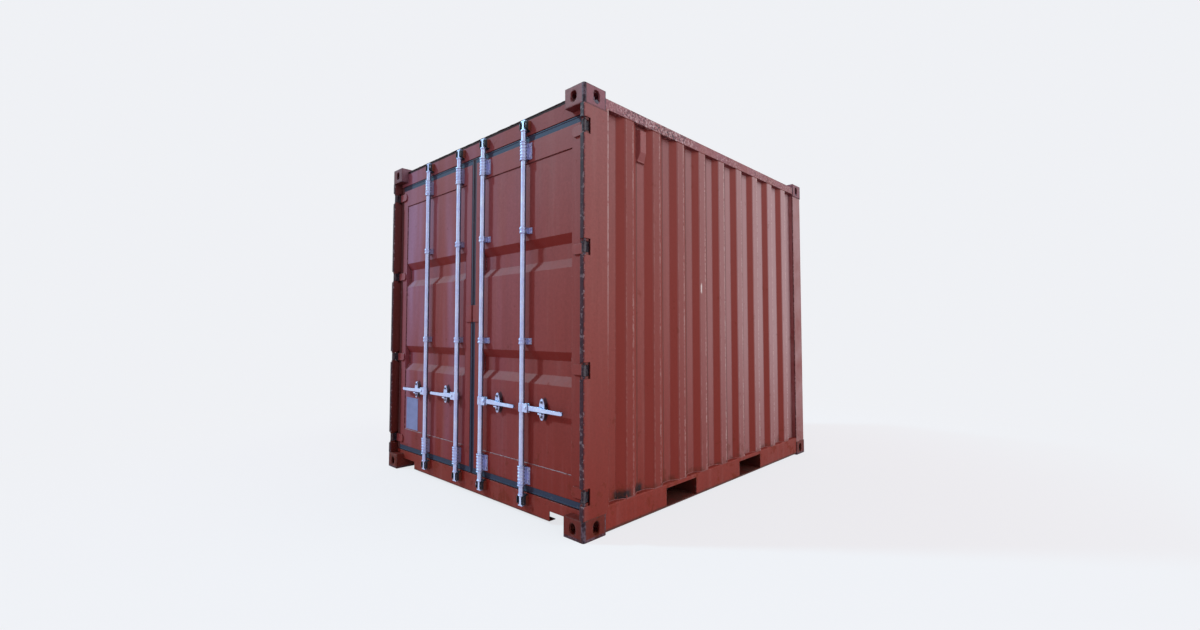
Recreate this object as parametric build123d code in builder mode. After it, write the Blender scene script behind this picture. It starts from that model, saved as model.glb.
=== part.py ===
from build123d import *
import os

os.makedirs("parts", exist_ok=True)

# Ten-foot steel freight container. Millimetres, origin at the bottom centre.
# X runs right when facing the doors, Y runs from the door end to the blind end, Z is up.
# "Inset" is measured in from a long side face, "depth" in from the door-end or blind-end face,
# and "drop" down from the top of the castings.

# Overall size
length = 2991.0
width = 2438.0
height = 2591.0

# Corner castings and their oval apertures
casting_across = 162.0
casting_along = 178.0
casting_tall = 118.0
casting_wall = 16.0
casting_cap = 28.5
casting_round = 14.0
aperture_inset = 89.0
aperture_depth = 101.5
cap_slot_long = 124.0
cap_slot_wide = 63.5
side_slot_tall = 79.5
end_slot_tall = 66.0
wall_slot_wide = 51.0

# Door posts: a pressed J outside, a rolled channel behind it
post_plate = 6.0
post_bend = 9.0
post_leg = 204.0
post_strip = 37.0
post_return = 78.0
channel_plate = 12.0
channel_long = 113.0
opening_inset = 49.0

# Blind-end posts
end_post_recess = 5.0
end_post_lip = 50.0

# Side rails
frame_recess = 6.0
top_rail_size = 60.0
top_rail_plate = 3.0
top_rail_drop = 39.0
bottom_rail_low = 8.0
bottom_rail_top = 160.0
bottom_rail_plate = 4.5
bottom_rail_flange = 48.0

# Corrugated sheets
sheet = 2.0
side_pitch = 275.5
side_crest = 74.0
side_slope = 62.0
side_deep = 36.0
side_recess = 8.0
end_pitch = 250.0
end_crest = 104.0
end_slope = 18.0
end_deep = 45.0

# Roof sheet with stamped troughs
rib_pitch = 220.0
rib_high = 20.0
rib_wide = 110.0
rib_slope = 45.0
roof_border = 90.0

# Floor, cross members and fork pockets
pocket_wide = 352.0
pocket_tall = 115.0
pocket_plate = 6.0
pocket_strap = 200.0
pocket_spacing = 965.0
pocket_offset = 69.0
floor_thick = 28.0
member_plate = 4.0
member_flange = 45.0
member_pitch = 300.0

# Door header and sill
door_depth = 60.0
header_drop = 31.0
header_plate = 4.0
opening_drop = 166.0
sill_low = 20.0
sill_plate = 4.5
sill_foot = 50.0
notch_wide = 195.0
notch_top = 80.0

# Door leaves
leaf_inner = 30.0
leaf_inset = 91.0
leaf_low = 190.0
leaf_drop = 191.0
leaf_thick = 50.0
stile_wide = 72.0
rail_tall = 138.0
leaf_plate = 3.2
panel_step = 6.0
groove_count = 2
groove_deep = 36.0
groove_slope = 56.0
groove_tall = 205.0
gasket_lip = 41.0
gasket_thick = 10.0
gasket_step = 2.0
leaf_gap = 3.5
header_gap = 5.0
tab_tall = 122.0
tab_thick = 8.0
tab_web = 3.0
right_tab = (38.0, 98.0)
left_tab = (10.0, 82.0)

# Hinges
pin_inset = 21.0
pin_radius = 8.0
pin_play = 0.5
hinge_count = 4
hinge_margin = 55.0
hinge_slot = 94.0
slot_depth = 52.0
blade_tall = 62.0
blade_thick = 10.0
blade_corner = 14.0
blade_grip = 62.0
blade_clear = 6.0
eye_radius = 14.0
lug_gap = 1.5
lug_grip = 6.0

# Lock rods, cams and keepers
rod_radius = 17.0
rod_depth = 28.0
inner_rod_margin = 130.0
hinge_side_margin = 32.0
cam_reach = 22.0
cam_thick = 18.0
cam_tall = 69.0
cam_waist = 9.0
cam_throat = 24.0
cam_flange = 10.0
cam_drop = 24.0
cam_lift = 48.0
keeper_gap = 6.0
keeper_cheek = 5.0
keeper_base = 3.0
keeper_reach = 17.0
keeper_slant = 14.0

# Rod bearings and guides
strap_plate = 4.5
strap_play = 0.5
bearing_tall = 108.0
bearing_margin = 65.0
guide_tall = 40.0
guide_lift = 61.0
foot_reach = 50.0
foot_thick = 6.0

# Handles, their forks and their catches
handle_drop = 151.0
handle_spare = 83.0
handle_thick = 12.0
handle_root = 30.0
handle_grip = 21.0
grip_drop = 5.0
handle_play = 0.5
hub_tall = 55.0
hub_sleeve = 5.0
hub_reach = 66.0
hub_cheek = 7.0
pivot_reach = 48.0
pivot_radius = 6.0
catch_gap = 115.0
catch_tall = 133.0
catch_wide = 52.0
catch_plate = 6.0
catch_clear = 6.0
catch_neck = 30.0
ledge_wide = 34.0
ledge_thick = 8.0
ledge_reach = 18.0

# Side vents
vent_wide = 76.0
vent_tall = 214.0
vent_proud = 32.0
vent_flank = 17.0
vent_wall = 3.0
vent_drop = 131.0
vent_mouth = 64.0
vent_lip = 12.0

# Levels worked out from the sizes above
top_casting_low = height - casting_tall
top_rail_top = height - top_rail_drop
top_rail_low = top_rail_top - top_rail_size
header_top = height - header_drop
opening_top = height - opening_drop
leaf_top = height - leaf_drop
leaf_tall = leaf_top - leaf_low
header_low = leaf_top + gasket_lip + header_gap
sill_top = leaf_low - gasket_lip - header_gap
pocket_low = bottom_rail_low + bottom_rail_plate + pocket_plate
floor_low = pocket_low + pocket_tall + pocket_plate
floor_top = floor_low + floor_thick
vent_middle = top_rail_low - vent_drop

# Places along the length
channel_back = post_return + channel_long
end_post_leg = casting_along
wall_middle = (post_leg + length - end_post_leg) / 2
side_crests = int((length - channel_back - end_post_leg) / side_pitch)
pocket_depths = [length / 2 - pocket_offset + way * pocket_spacing / 2 for way in (-1, 1)]
panel_depth = door_depth + panel_step

# Places across one leaf
leaf_outer = width / 2 - leaf_inset
leaf_wide = leaf_outer - leaf_inner
leaf_middle = (leaf_inner + leaf_outer) / 2
blade_reach = leaf_outer - blade_grip
inner_rod = leaf_inner + inner_rod_margin
rod_pitch = (leaf_outer - hinge_side_margin - inner_rod) / 2
rod_places = (inner_rod, inner_rod + rod_pitch)
handle_length = rod_pitch - handle_spare
catch_reach = hub_reach + catch_gap
cam_swing = (cam_reach ** 2 + (cam_thick / 2) ** 2) ** 0.5
strap_radius = rod_radius + strap_play + strap_plate
hub_radius = rod_radius + hub_sleeve
hub_slot = handle_thick + 2 * handle_play
hub_thick = hub_slot + 2 * hub_cheek

# Heights on one leaf
flat_tall = (leaf_tall - 2 * rail_tall - groove_count * groove_tall) / (groove_count + 1)
groove_lows = [leaf_low + rail_tall + flat_tall + index * (flat_tall + groove_tall)
               for index in range(groove_count)]
hinge_step = (leaf_tall - 2 * hinge_margin) / (hinge_count - 1)
hinge_heights = [leaf_low + hinge_margin + index * hinge_step for index in range(hinge_count)]
bearing_heights = (leaf_low + bearing_margin, leaf_top - bearing_margin)
guide_heights = [low + groove_tall + guide_lift for low in groove_lows]
handle_height = groove_lows[0] - handle_drop
tab_middle = (leaf_low + leaf_top) / 2
cam_top = header_top - cam_drop
cam_low = sill_low + cam_lift


def right(inset):
    """X of a plane this far in from the right side face."""
    return width / 2 - inset


def front(depth):
    """Y of a plane this far in from the door-end face."""
    return depth - length / 2


def rear(depth):
    """Y of a plane this far in from the blind-end face."""
    return length / 2 - depth


def front_plane(depth):
    """Upright plane facing the viewer at the doors: local X is right, local Y is up."""
    return Plane.XZ.offset(length / 2 - depth)


def side_plane(x):
    """Upright plane across X: local X runs to the blind end, local Y is up."""
    return Plane.YZ.offset(x)


def pressed(points, thick, bend, side):
    """Section of a bent plate: a line with rounded bends, thickened to one side."""
    with BuildLine() as outline:
        FilletPolyline(*points, radius=bend)
        offset(amount=thick, side=side)
    make_face(outline.edges())


def folded(points, thick, side):
    """Section of a folded plate with crisp corners."""
    with BuildLine() as outline:
        Polyline(*points)
        offset(amount=thick, side=side, kind=Kind.INTERSECTION)
    make_face(outline.edges())


def waves(centre, count, pitch, crest, slope):
    """Stations of a trapezoid wave: (place, is_on_the_crest), in order along the sheet."""
    stations = []
    for index in range(count):
        middle = centre + (index - (count - 1) / 2) * pitch
        stations.append((middle - crest / 2 - slope, False))
        stations.append((middle - crest / 2, True))
        stations.append((middle + crest / 2, True))
        stations.append((middle + crest / 2 + slope, False))
    return stations


def other_side(piece):
    """The same piece on the left half of the container."""
    with BuildPart() as mirrored:
        mirror(piece.part, about=Plane.YZ)
    return mirrored


def save(piece, name):
    piece.part.label = name
    export_step(piece.part, f"parts/{name}.step")


# Corner castings
def corner_castings(low, cap_up):
    """Four hollow castings at one level, each open at its three outer faces."""
    cavity_low = low + (casting_wall if cap_up else casting_cap)
    cap_face = low + casting_tall if cap_up else low
    cap_way = -1 if cap_up else 1
    middle = low + casting_tall / 2
    with BuildPart() as castings:
        with BuildSketch(Plane.XY.offset(low)):
            with Locations((right(casting_across / 2), front(casting_along / 2))):
                Rectangle(casting_across, casting_along)
        extrude(amount=casting_tall)
        corner = castings.edges().filter_by(Axis.Z).sort_by_distance((right(0), front(0), middle))[0]
        fillet(corner, casting_round)
        with BuildSketch(Plane.XY.offset(cavity_low)):
            with Locations((right(casting_across / 2), front(casting_along / 2))):
                Rectangle(casting_across - 2 * casting_wall, casting_along - 2 * casting_wall)
        extrude(amount=casting_tall - casting_wall - casting_cap, mode=Mode.SUBTRACT)
        with BuildSketch(Plane.XY.offset(cap_face)):
            with Locations((right(aperture_inset), front(aperture_depth))):
                SlotOverall(cap_slot_long, cap_slot_wide, rotation=90)
        extrude(amount=cap_way * casting_cap, mode=Mode.SUBTRACT)
        with BuildSketch(side_plane(right(0))):
            with Locations((front(aperture_depth), middle)):
                SlotOverall(side_slot_tall, wall_slot_wide, rotation=90)
        extrude(amount=-casting_wall, mode=Mode.SUBTRACT)
        with BuildSketch(front_plane(0)):
            with Locations((right(aperture_inset), middle)):
                SlotOverall(end_slot_tall, wall_slot_wide, rotation=90)
        extrude(amount=-casting_wall, mode=Mode.SUBTRACT)
        mirror(about=Plane.YZ)
        mirror(about=Plane.XZ)
    return castings


# Door post with its hinge cut-outs
def door_post():
    return_slot = door_depth + blade_clear
    with BuildPart() as post:
        with BuildSketch(Plane.XY.offset(casting_tall)) as section:
            folded([(right(0), front(post_leg)), (right(0), front(0)),
                    (right(post_strip), front(0)), (right(post_strip), front(post_return))],
                   post_plate, Side.RIGHT)
            fillet(section.vertices().group_by(Axis.Y)[0], post_bend)
            with BuildLine():
                Polyline((right(post_plate), front(post_return)),
                         (right(opening_inset), front(post_return)),
                         (right(opening_inset), front(channel_back)),
                         (right(post_plate), front(channel_back)),
                         (right(post_plate), front(channel_back - channel_plate)),
                         (right(opening_inset - channel_plate), front(channel_back - channel_plate)),
                         (right(opening_inset - channel_plate), front(post_return + channel_plate)),
                         (right(post_plate), front(post_return + channel_plate)),
                         close=True)
            make_face()
        extrude(amount=top_rail_low - casting_tall)
        # the casting takes the place of the post's top, up to the back of the casting
        with BuildSketch(Plane.XY.offset(top_casting_low)):
            with Locations((right(casting_across / 2), front(casting_along / 2))):
                Rectangle(casting_across, casting_along)
        extrude(amount=top_rail_low - top_casting_low, mode=Mode.SUBTRACT)
        # the outer leg is cut slantwise where it meets the casting below
        with BuildSketch(side_plane(right(0))):
            with BuildLine():
                Polyline((front(casting_along), casting_tall), (front(post_leg), casting_tall),
                         (front(post_leg), bottom_rail_top), close=True)
            make_face()
        extrude(amount=-post_plate, mode=Mode.SUBTRACT)
        with BuildSketch(side_plane(right(0))):
            for hinge in hinge_heights:
                with Locations((front(slot_depth / 2), hinge)):
                    Rectangle(slot_depth, hinge_slot)
        extrude(amount=-post_strip, mode=Mode.SUBTRACT)
        # inside, the slots run on so that the blades can stand behind the leaf's face
        with BuildSketch(side_plane(right(post_strip))):
            for hinge in hinge_heights:
                with Locations((front(return_slot / 2), hinge)):
                    Rectangle(return_slot, hinge_slot)
        extrude(amount=post_plate, mode=Mode.SUBTRACT)
    return post


# Blind-end post: an L with a lip on each leg
def end_post():
    inset = end_post_recess
    corner = (right(inset), rear(inset))
    with BuildPart() as post:
        with BuildSketch(Plane.XY.offset(casting_tall)) as section:
            folded([(right(end_post_lip), rear(end_post_leg)), (right(inset), rear(end_post_leg)),
                    corner, (right(casting_across), rear(inset)),
                    (right(casting_across), rear(end_post_lip))],
                   post_plate, Side.LEFT)
            fillet(section.vertices().sort_by_distance(corner)[0], post_bend)
        extrude(amount=top_casting_low - casting_tall)
    return post


# Side walls and the blind-end wall
def side_wall():
    crest_x, valley_x = right(side_recess), right(side_recess + side_deep)
    line = [(valley_x, front(channel_back))]
    for place, on_crest in waves(wall_middle, side_crests, side_pitch, side_crest, side_slope):
        line.append((crest_x if on_crest else valley_x, front(place)))
    line.append((valley_x, rear(end_post_leg)))
    with BuildPart() as wall:
        with BuildSketch(Plane.XY.offset(bottom_rail_top)):
            folded(line, sheet, Side.LEFT)
        extrude(amount=top_rail_low - bottom_rail_top)
    return wall


def end_wall():
    half = right(casting_across)
    crest_y, valley_y = rear(side_recess), rear(side_recess + end_deep)
    line = [(-half, valley_y)]
    for place, on_crest in waves(0, int(2 * half / end_pitch), end_pitch, end_crest, end_slope):
        line.append((place, crest_y if on_crest else valley_y))
    line.append((half, valley_y))
    with BuildPart() as wall:
        with BuildSketch(Plane.XY.offset(bottom_rail_top)):
            folded(line, sheet, Side.RIGHT)
        extrude(amount=top_rail_low - bottom_rail_top)
    return wall


# Top rails: square tubes between the castings
def square_tube_section(across, up):
    with Locations((across, up)):
        Rectangle(top_rail_size, top_rail_size)
        Rectangle(top_rail_size - 2 * top_rail_plate, top_rail_size - 2 * top_rail_plate,
                  mode=Mode.SUBTRACT)


def top_side_rail():
    with BuildPart() as rail:
        with BuildSketch(front_plane(casting_along)):
            square_tube_section(right(frame_recess + top_rail_size / 2), top_rail_low + top_rail_size / 2)
        extrude(amount=2 * casting_along - length)
    return rail


def end_top_rail():
    half = right(casting_across)
    with BuildPart() as rail:
        with BuildSketch(side_plane(-half)):
            square_tube_section(rear(frame_recess + top_rail_size / 2), top_rail_low + top_rail_size / 2)
        extrude(amount=2 * half)
    return rail


# Bottom rails: pressed channels, the side ones pierced by the fork pockets
def bottom_side_rail():
    web, tip = right(frame_recess), right(frame_recess + bottom_rail_flange)
    with BuildPart() as rail:
        with BuildSketch(front_plane(casting_along)):
            pressed([(tip, bottom_rail_low), (web, bottom_rail_low), (web, bottom_rail_top),
                     (tip, bottom_rail_top)], bottom_rail_plate, post_bend, Side.LEFT)
        extrude(amount=2 * casting_along - length)
        # the rail's end stops against the back of the door post above the casting
        with BuildSketch(side_plane(tip)):
            with Locations((front(casting_along), casting_tall)):
                Rectangle(channel_back - casting_along, bottom_rail_top - casting_tall,
                          align=(Align.MIN, Align.MIN))
        extrude(amount=bottom_rail_flange, mode=Mode.SUBTRACT)
        with BuildSketch(side_plane(web)):
            for place in pocket_depths:
                with Locations((front(place), pocket_low + pocket_tall / 2)):
                    Rectangle(pocket_wide, pocket_tall)
        extrude(amount=-2 * bottom_rail_plate, mode=Mode.SUBTRACT)
    return rail


def end_bottom_rail():
    half = right(casting_across)
    web, tip = rear(frame_recess), rear(frame_recess + bottom_rail_flange)
    with BuildPart() as rail:
        with BuildSketch(side_plane(-half)):
            pressed([(tip, bottom_rail_low), (web, bottom_rail_low), (web, bottom_rail_top),
                     (tip, bottom_rail_top)], bottom_rail_plate, post_bend, Side.LEFT)
        extrude(amount=2 * half)
    return rail


# Roof: one flat sheet with hollow stamped ribs
def roof():
    edge = right(frame_recess)
    back = rear(frame_recess)
    rib_long = 2 * (edge - roof_border)
    rib_count = int((length - 2 * casting_along - roof_border) / rib_pitch)
    with BuildPart() as sheet_metal:
        with BuildSketch(Plane.XY.offset(top_rail_top)):
            with Locations((0, (front(casting_along) + back) / 2)):
                Rectangle(2 * edge, back - front(casting_along))
            with Locations((right(0), rear(0)), (-right(0), rear(0))):
                Rectangle(2 * casting_across, 2 * casting_along, mode=Mode.SUBTRACT)
        extrude(amount=sheet)
        with BuildSketch(Plane.XY.offset(top_rail_top + sheet)):
            with GridLocations(0, rib_pitch, 1, rib_count):
                Rectangle(rib_long, rib_wide)
        extrude(amount=rib_high, taper=rib_slope)
        with BuildSketch(Plane.XY.offset(top_rail_top)):
            with GridLocations(0, rib_pitch, 1, rib_count):
                Rectangle(rib_long - sheet, rib_wide - sheet)
        extrude(amount=rib_high, taper=rib_slope, mode=Mode.SUBTRACT)
    return sheet_metal


# Floor and what carries it
def floor_boards():
    edge = right(frame_recess + bottom_rail_flange)
    back = rear(side_recess + end_deep + sheet)
    with BuildPart() as boards:
        with BuildSketch(Plane.XY.offset(floor_low)):
            with Locations((0, (front(casting_along) + back) / 2)):
                Rectangle(2 * edge, back - front(casting_along))
        extrude(amount=floor_thick)
    return boards


def cross_members():
    """Folded channels under the floor, spread over each bay beside the fork pockets."""
    half = right(frame_recess + bottom_rail_plate)
    ends = [casting_along]
    for place in pocket_depths:
        ends += [place - pocket_wide / 2 - pocket_plate, place + pocket_wide / 2 + pocket_plate]
    ends.append(length - frame_recess - bottom_rail_flange)
    with BuildPart() as members:
        for start, stop in zip(ends[0::2], ends[1::2]):
            count = round((stop - start) / member_pitch)
            for index in range(count):
                middle = front(start + (stop - start) * (index + 1) / (count + 1))
                web, tip = middle - member_flange / 2, middle + member_flange / 2
                with BuildSketch(side_plane(-half)):
                    folded([(tip, pocket_low), (web, pocket_low), (web, floor_low), (tip, floor_low)],
                           member_plate, Side.RIGHT)
                extrude(amount=2 * half)
    return members


def fork_pockets():
    """Steel sleeves across the base, closed underneath only near the side rails."""
    half = right(frame_recess + post_bend)
    with BuildPart() as pockets:
        with BuildSketch(side_plane(-half)):
            for place in pocket_depths:
                with Locations((front(place), pocket_low + pocket_tall / 2)):
                    Rectangle(pocket_wide + 2 * pocket_plate, pocket_tall + 2 * pocket_plate)
                    Rectangle(pocket_wide, pocket_tall, mode=Mode.SUBTRACT)
        extrude(amount=2 * half)
        with BuildSketch(Plane.XY.offset(pocket_low)):
            for place in pocket_depths:
                with Locations((0, front(place))):
                    Rectangle(2 * (half - pocket_strap), pocket_wide)
        extrude(amount=-pocket_plate, mode=Mode.SUBTRACT)
    return pockets


# Door header and sill
def door_header():
    half = right(opening_inset)
    back = front(casting_along)
    face = front(door_depth)
    stop = front(post_return)
    with BuildPart() as header:
        with BuildSketch(side_plane(-half)):
            with BuildLine():
                Polyline((face, header_top), (face, header_low), (stop, header_low),
                         (stop, opening_top), (back, opening_top), (back, header_top), close=True)
            make_face()
            offset(amount=-header_plate, kind=Kind.INTERSECTION, mode=Mode.SUBTRACT)
        extrude(amount=2 * half)
        with BuildSketch(Plane.XY.offset(top_casting_low)):
            with Locations((right(0), front(0)), (-right(0), front(0))):
                Rectangle(2 * casting_across, 2 * casting_along)
        extrude(amount=header_top - top_casting_low, mode=Mode.SUBTRACT)
    return header


def door_sill():
    half = right(opening_inset)
    face = front(door_depth)
    step = front(door_depth + leaf_thick + gasket_step)
    back = front(casting_along)
    with BuildPart() as sill:
        with BuildSketch(side_plane(-half)):
            folded([(face + sill_foot, sill_low), (face, sill_low), (face, sill_top),
                    (step, sill_top), (step, floor_top), (back, floor_top)],
                   sill_plate, Side.RIGHT)
        extrude(amount=2 * half)
        # cut back to the castings, and notched beside them
        with BuildSketch(front_plane(0)):
            with Locations((right(0), 0), (-right(0), 0)):
                Rectangle(2 * casting_across, 2 * casting_tall)
                Rectangle(2 * (casting_across + notch_wide), 2 * notch_top)
        extrude(amount=-2 * casting_along, mode=Mode.SUBTRACT)
    return sill


# Door leaf: frame, corrugated panel and rubber gasket
def door_frame(tab):
    """Two box stiles, two channel rails and the meeting tab, welded into one."""
    near, far = front(door_depth), front(door_depth + leaf_thick)
    tab_from, tab_to = tab
    with BuildPart() as frame:
        with BuildSketch(Plane.XY.offset(leaf_low)):
            with Locations((leaf_inner + stile_wide / 2, (near + far) / 2),
                           (leaf_outer - stile_wide / 2, (near + far) / 2)):
                Rectangle(stile_wide, leaf_thick)
                Rectangle(stile_wide - 2 * leaf_plate, leaf_thick - 2 * leaf_plate, mode=Mode.SUBTRACT)
        extrude(amount=leaf_tall)
        for low in (leaf_low, leaf_top - rail_tall):
            with BuildSketch(side_plane(leaf_inner + stile_wide)):
                folded([(far, low), (near, low), (near, low + rail_tall), (far, low + rail_tall)],
                       leaf_plate, Side.RIGHT)
            extrude(amount=leaf_wide - 2 * stile_wide)
        # the tab stands on the meeting stile, and its thin web covers the rubber beside it
        with BuildSketch(front_plane(door_depth)):
            with Locations((tab_from, tab_middle)):
                Rectangle(tab_to - tab_from, tab_tall, align=(Align.MIN, Align.CENTER))
        extrude(amount=tab_thick)
        with BuildSketch(front_plane(door_depth)):
            with Locations((leaf_gap, tab_middle)):
                Rectangle(tab_to - leaf_gap, tab_tall, align=(Align.MIN, Align.CENTER))
        extrude(amount=tab_web)
    return frame


def door_panel():
    """Sheet with inward grooves across it, set a little behind the frame's face."""
    flat, deep = front(panel_depth), front(panel_depth + groove_deep)
    line = [(flat, leaf_low + rail_tall)]
    for low in groove_lows:
        line += [(flat, low), (deep, low + groove_slope),
                 (deep, low + groove_tall - groove_slope), (flat, low + groove_tall)]
    line.append((flat, leaf_top - rail_tall))
    with BuildPart() as panel:
        with BuildSketch(side_plane(leaf_inner + stile_wide)):
            folded(line, sheet, Side.RIGHT)
        extrude(amount=leaf_wide - 2 * stile_wide)
    return panel


def door_gasket():
    outer_edge = leaf_outer + gasket_lip
    middle = (leaf_low + leaf_top) / 2
    with BuildPart() as gasket:
        with BuildSketch(front_plane(door_depth + gasket_step)):
            with Locations(((leaf_gap + outer_edge) / 2, middle)):
                Rectangle(outer_edge - leaf_gap, leaf_tall + 2 * gasket_lip)
            with Locations((leaf_middle, middle)):
                Rectangle(leaf_wide, leaf_tall, mode=Mode.SUBTRACT)
        extrude(amount=-gasket_thick)
    return gasket


# Hinges
def hinge_blades():
    """Goose-necked blades: an eye on the pin, a neck straight back, and an arm on the leaf's face."""
    pin = (right(pin_inset), front(pin_inset))
    neck = right(pin_inset) + blade_thick / 2
    with BuildPart() as blades:
        for hinge in hinge_heights:
            with BuildSketch(Plane.XY.offset(hinge - blade_tall / 2)):
                folded([(neck, pin[1]), (neck, front(door_depth)), (blade_reach, front(door_depth))],
                       blade_thick, Side.LEFT)
                with Locations(pin):
                    Circle(eye_radius)
                    Circle(pin_radius + pin_play, mode=Mode.SUBTRACT)
            extrude(amount=blade_tall)
        # the far corners of the arms are cut off
        tips = blades.edges().filter_by(Axis.Y).group_by(Axis.X)[0]
        chamfer(tips, blade_corner)
    return blades


def hinge_pins():
    """Pins welded into a lug above and below each blade, inside the post."""
    lug_low = blade_tall / 2 + lug_gap
    lug_tall = hinge_slot / 2 + lug_grip - lug_low
    lug_across = post_strip - 2 * post_plate
    with BuildPart() as pins:
        for hinge in hinge_heights:
            for low in (hinge + lug_low, hinge - lug_low - lug_tall):
                with BuildSketch(Plane.XY.offset(low)):
                    with Locations((right(post_plate), front(post_bend))):
                        Rectangle(lug_across, slot_depth - 2 * post_bend, align=(Align.MAX, Align.MIN))
                extrude(amount=lug_tall)
            with BuildSketch(Plane.XY.offset(hinge - lug_low)):
                with Locations((right(pin_inset), front(pin_inset))):
                    Circle(pin_radius)
            extrude(amount=2 * lug_low)
        mirror(about=Plane.YZ)
    return pins


# Lock rods
def cam_outline(place, middle):
    """A waisted block seen from the front: flat flanges above and below two hollow sides."""
    half, throat = cam_tall / 2, cam_throat / 2
    waist_end = half - cam_flange
    with BuildLine() as outline:
        Polyline((place, middle - half), (place + cam_reach, middle - half),
                 (place + cam_reach, middle - waist_end), (place + cam_waist, middle - throat),
                 (place + cam_waist, middle + throat), (place + cam_reach, middle + waist_end),
                 (place + cam_reach, middle + half), (place, middle + half))
        mirror(about=Plane.YZ.offset(place))
    make_face(outline.edges())


def lock_rod(place):
    """Rod, its two cams, and the fork that holds the handle."""
    axis = (place, front(rod_depth))
    rod_low, rod_top = cam_low + cam_tall, cam_top - cam_tall
    with BuildPart() as rod:
        for middle in (cam_low + cam_tall / 2, cam_top - cam_tall / 2):
            with BuildSketch(front_plane(rod_depth)):
                cam_outline(place, middle)
            extrude(amount=cam_thick / 2, both=True)
        with BuildSketch(Plane.XY.offset(rod_low)):
            with Locations(axis):
                Circle(rod_radius)
        extrude(amount=rod_top - rod_low)
        # the handle's fork: a sleeve on the rod with two cheeks and their pin
        with BuildSketch(Plane.XY.offset(handle_height - hub_tall / 2)):
            with Locations(axis):
                Circle(hub_radius)
                Rectangle(hub_reach, hub_thick, align=(Align.MIN, Align.CENTER))
            with Locations((place + hub_radius, axis[1])):
                Rectangle(hub_reach, hub_slot, align=(Align.MIN, Align.CENTER), mode=Mode.SUBTRACT)
        extrude(amount=hub_tall)
        with BuildSketch(front_plane(rod_depth)):
            with Locations((place + pivot_reach, handle_height)):
                Circle(pivot_radius)
        extrude(amount=hub_thick / 2, both=True)
    return rod


def handle(place):
    """Bar on the fork's pin: thick to the catch, then a slimmer grip that hangs a little lower."""
    pivot, tip = place + pivot_reach, place + handle_length - handle_grip / 2
    catch = place + catch_reach
    step = catch_wide / 2
    grip_middle = handle_height - grip_drop
    with BuildPart() as bar:
        with BuildSketch(front_plane(rod_depth)):
            with BuildLine():
                Polyline((pivot, handle_height - handle_root / 2),
                         (catch - step, handle_height - handle_root / 2),
                         (tip, grip_middle - handle_grip / 2), (tip, grip_middle + handle_grip / 2),
                         (catch + step, handle_height + handle_grip / 2 - grip_drop / 2),
                         (catch - step, handle_height + handle_root / 2),
                         (pivot, handle_height + handle_root / 2), close=True)
            make_face()
            with Locations((pivot, handle_height)):
                Circle(handle_root / 2)
            with Locations((tip, grip_middle)):
                Circle(handle_grip / 2)
            with Locations((pivot, handle_height)):
                Circle(pivot_radius + handle_play, mode=Mode.SUBTRACT)
        extrude(amount=handle_thick / 2, both=True)
    return bar


# Rod bearings, guides and handle catches on a leaf
def rod_brackets():
    """Long bearings at the rod ends and short guides between, each a strap over the rod on a foot."""
    with BuildPart() as brackets:
        for place in rod_places:
            axis = (place, front(rod_depth))
            spots = [(middle, bearing_tall, door_depth) for middle in bearing_heights]
            spots += [(middle, guide_tall, panel_depth) for middle in guide_heights]
            for middle, tall, seat in spots:
                with BuildSketch(Plane.XY.offset(middle - tall / 2)):
                    with Locations(axis):
                        Circle(strap_radius)
                    with Locations((place, front(seat))):
                        Rectangle(2 * strap_radius, seat - rod_depth, align=(Align.CENTER, Align.MAX))
                        Rectangle(foot_reach, foot_thick, align=(Align.MIN, Align.MAX))
                    with Locations(axis):
                        Circle(rod_radius + strap_play, mode=Mode.SUBTRACT)
                    with Locations((place, front(seat))):
                        Rectangle(2 * (rod_radius + strap_play), seat - rod_depth,
                                  align=(Align.CENTER, Align.MAX), mode=Mode.SUBTRACT)
                extrude(amount=tall)
    return brackets


def handle_catches():
    """Oval plates behind the handles, each on a stand-off, with a ledge under the handle."""
    handle_back = rod_depth + handle_thick / 2
    plate_front = handle_back + catch_clear
    plate_back = plate_front + catch_plate
    ledge_top = handle_height - handle_root / 2 - catch_clear
    with BuildPart() as catches:
        for place in rod_places:
            middle = place + catch_reach
            with BuildSketch(front_plane(plate_back)):
                with Locations((middle, handle_height)):
                    Ellipse(catch_wide / 2, catch_tall / 2)
            extrude(amount=catch_plate)
            with BuildSketch(front_plane(panel_depth)):
                with Locations((middle, handle_height)):
                    Rectangle(catch_neck, catch_neck)
            extrude(amount=panel_depth - plate_back)
            with BuildSketch(front_plane(plate_front)):
                with Locations((middle, ledge_top)):
                    Rectangle(ledge_wide, ledge_thick, align=(Align.CENTER, Align.MAX))
            extrude(amount=ledge_reach)
    return catches


# Cam keepers on the header and the sill
def cam_keepers():
    """Each keeper is a base plate with two cheeks, which slant back at their ends."""
    gap = cam_swing + keeper_gap
    base, tip = front(door_depth), front(keeper_reach)
    with BuildPart() as keepers:
        for place in rod_places:
            for low in (cam_low, cam_top - cam_tall):
                with BuildSketch(side_plane(place - gap - keeper_cheek)):
                    with BuildLine():
                        Polyline((base, low), (tip, low + keeper_slant), (tip, low + cam_tall - keeper_slant),
                                 (base, low + cam_tall), close=True)
                    make_face()
                extrude(amount=2 * (gap + keeper_cheek))
                with BuildSketch(Plane.XY.offset(low)):
                    with Locations((place, front(door_depth - keeper_base))):
                        Rectangle(2 * gap, door_depth, align=(Align.CENTER, Align.MAX))
                extrude(amount=cam_tall, mode=Mode.SUBTRACT)
        mirror(about=Plane.YZ)
    return keepers


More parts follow.
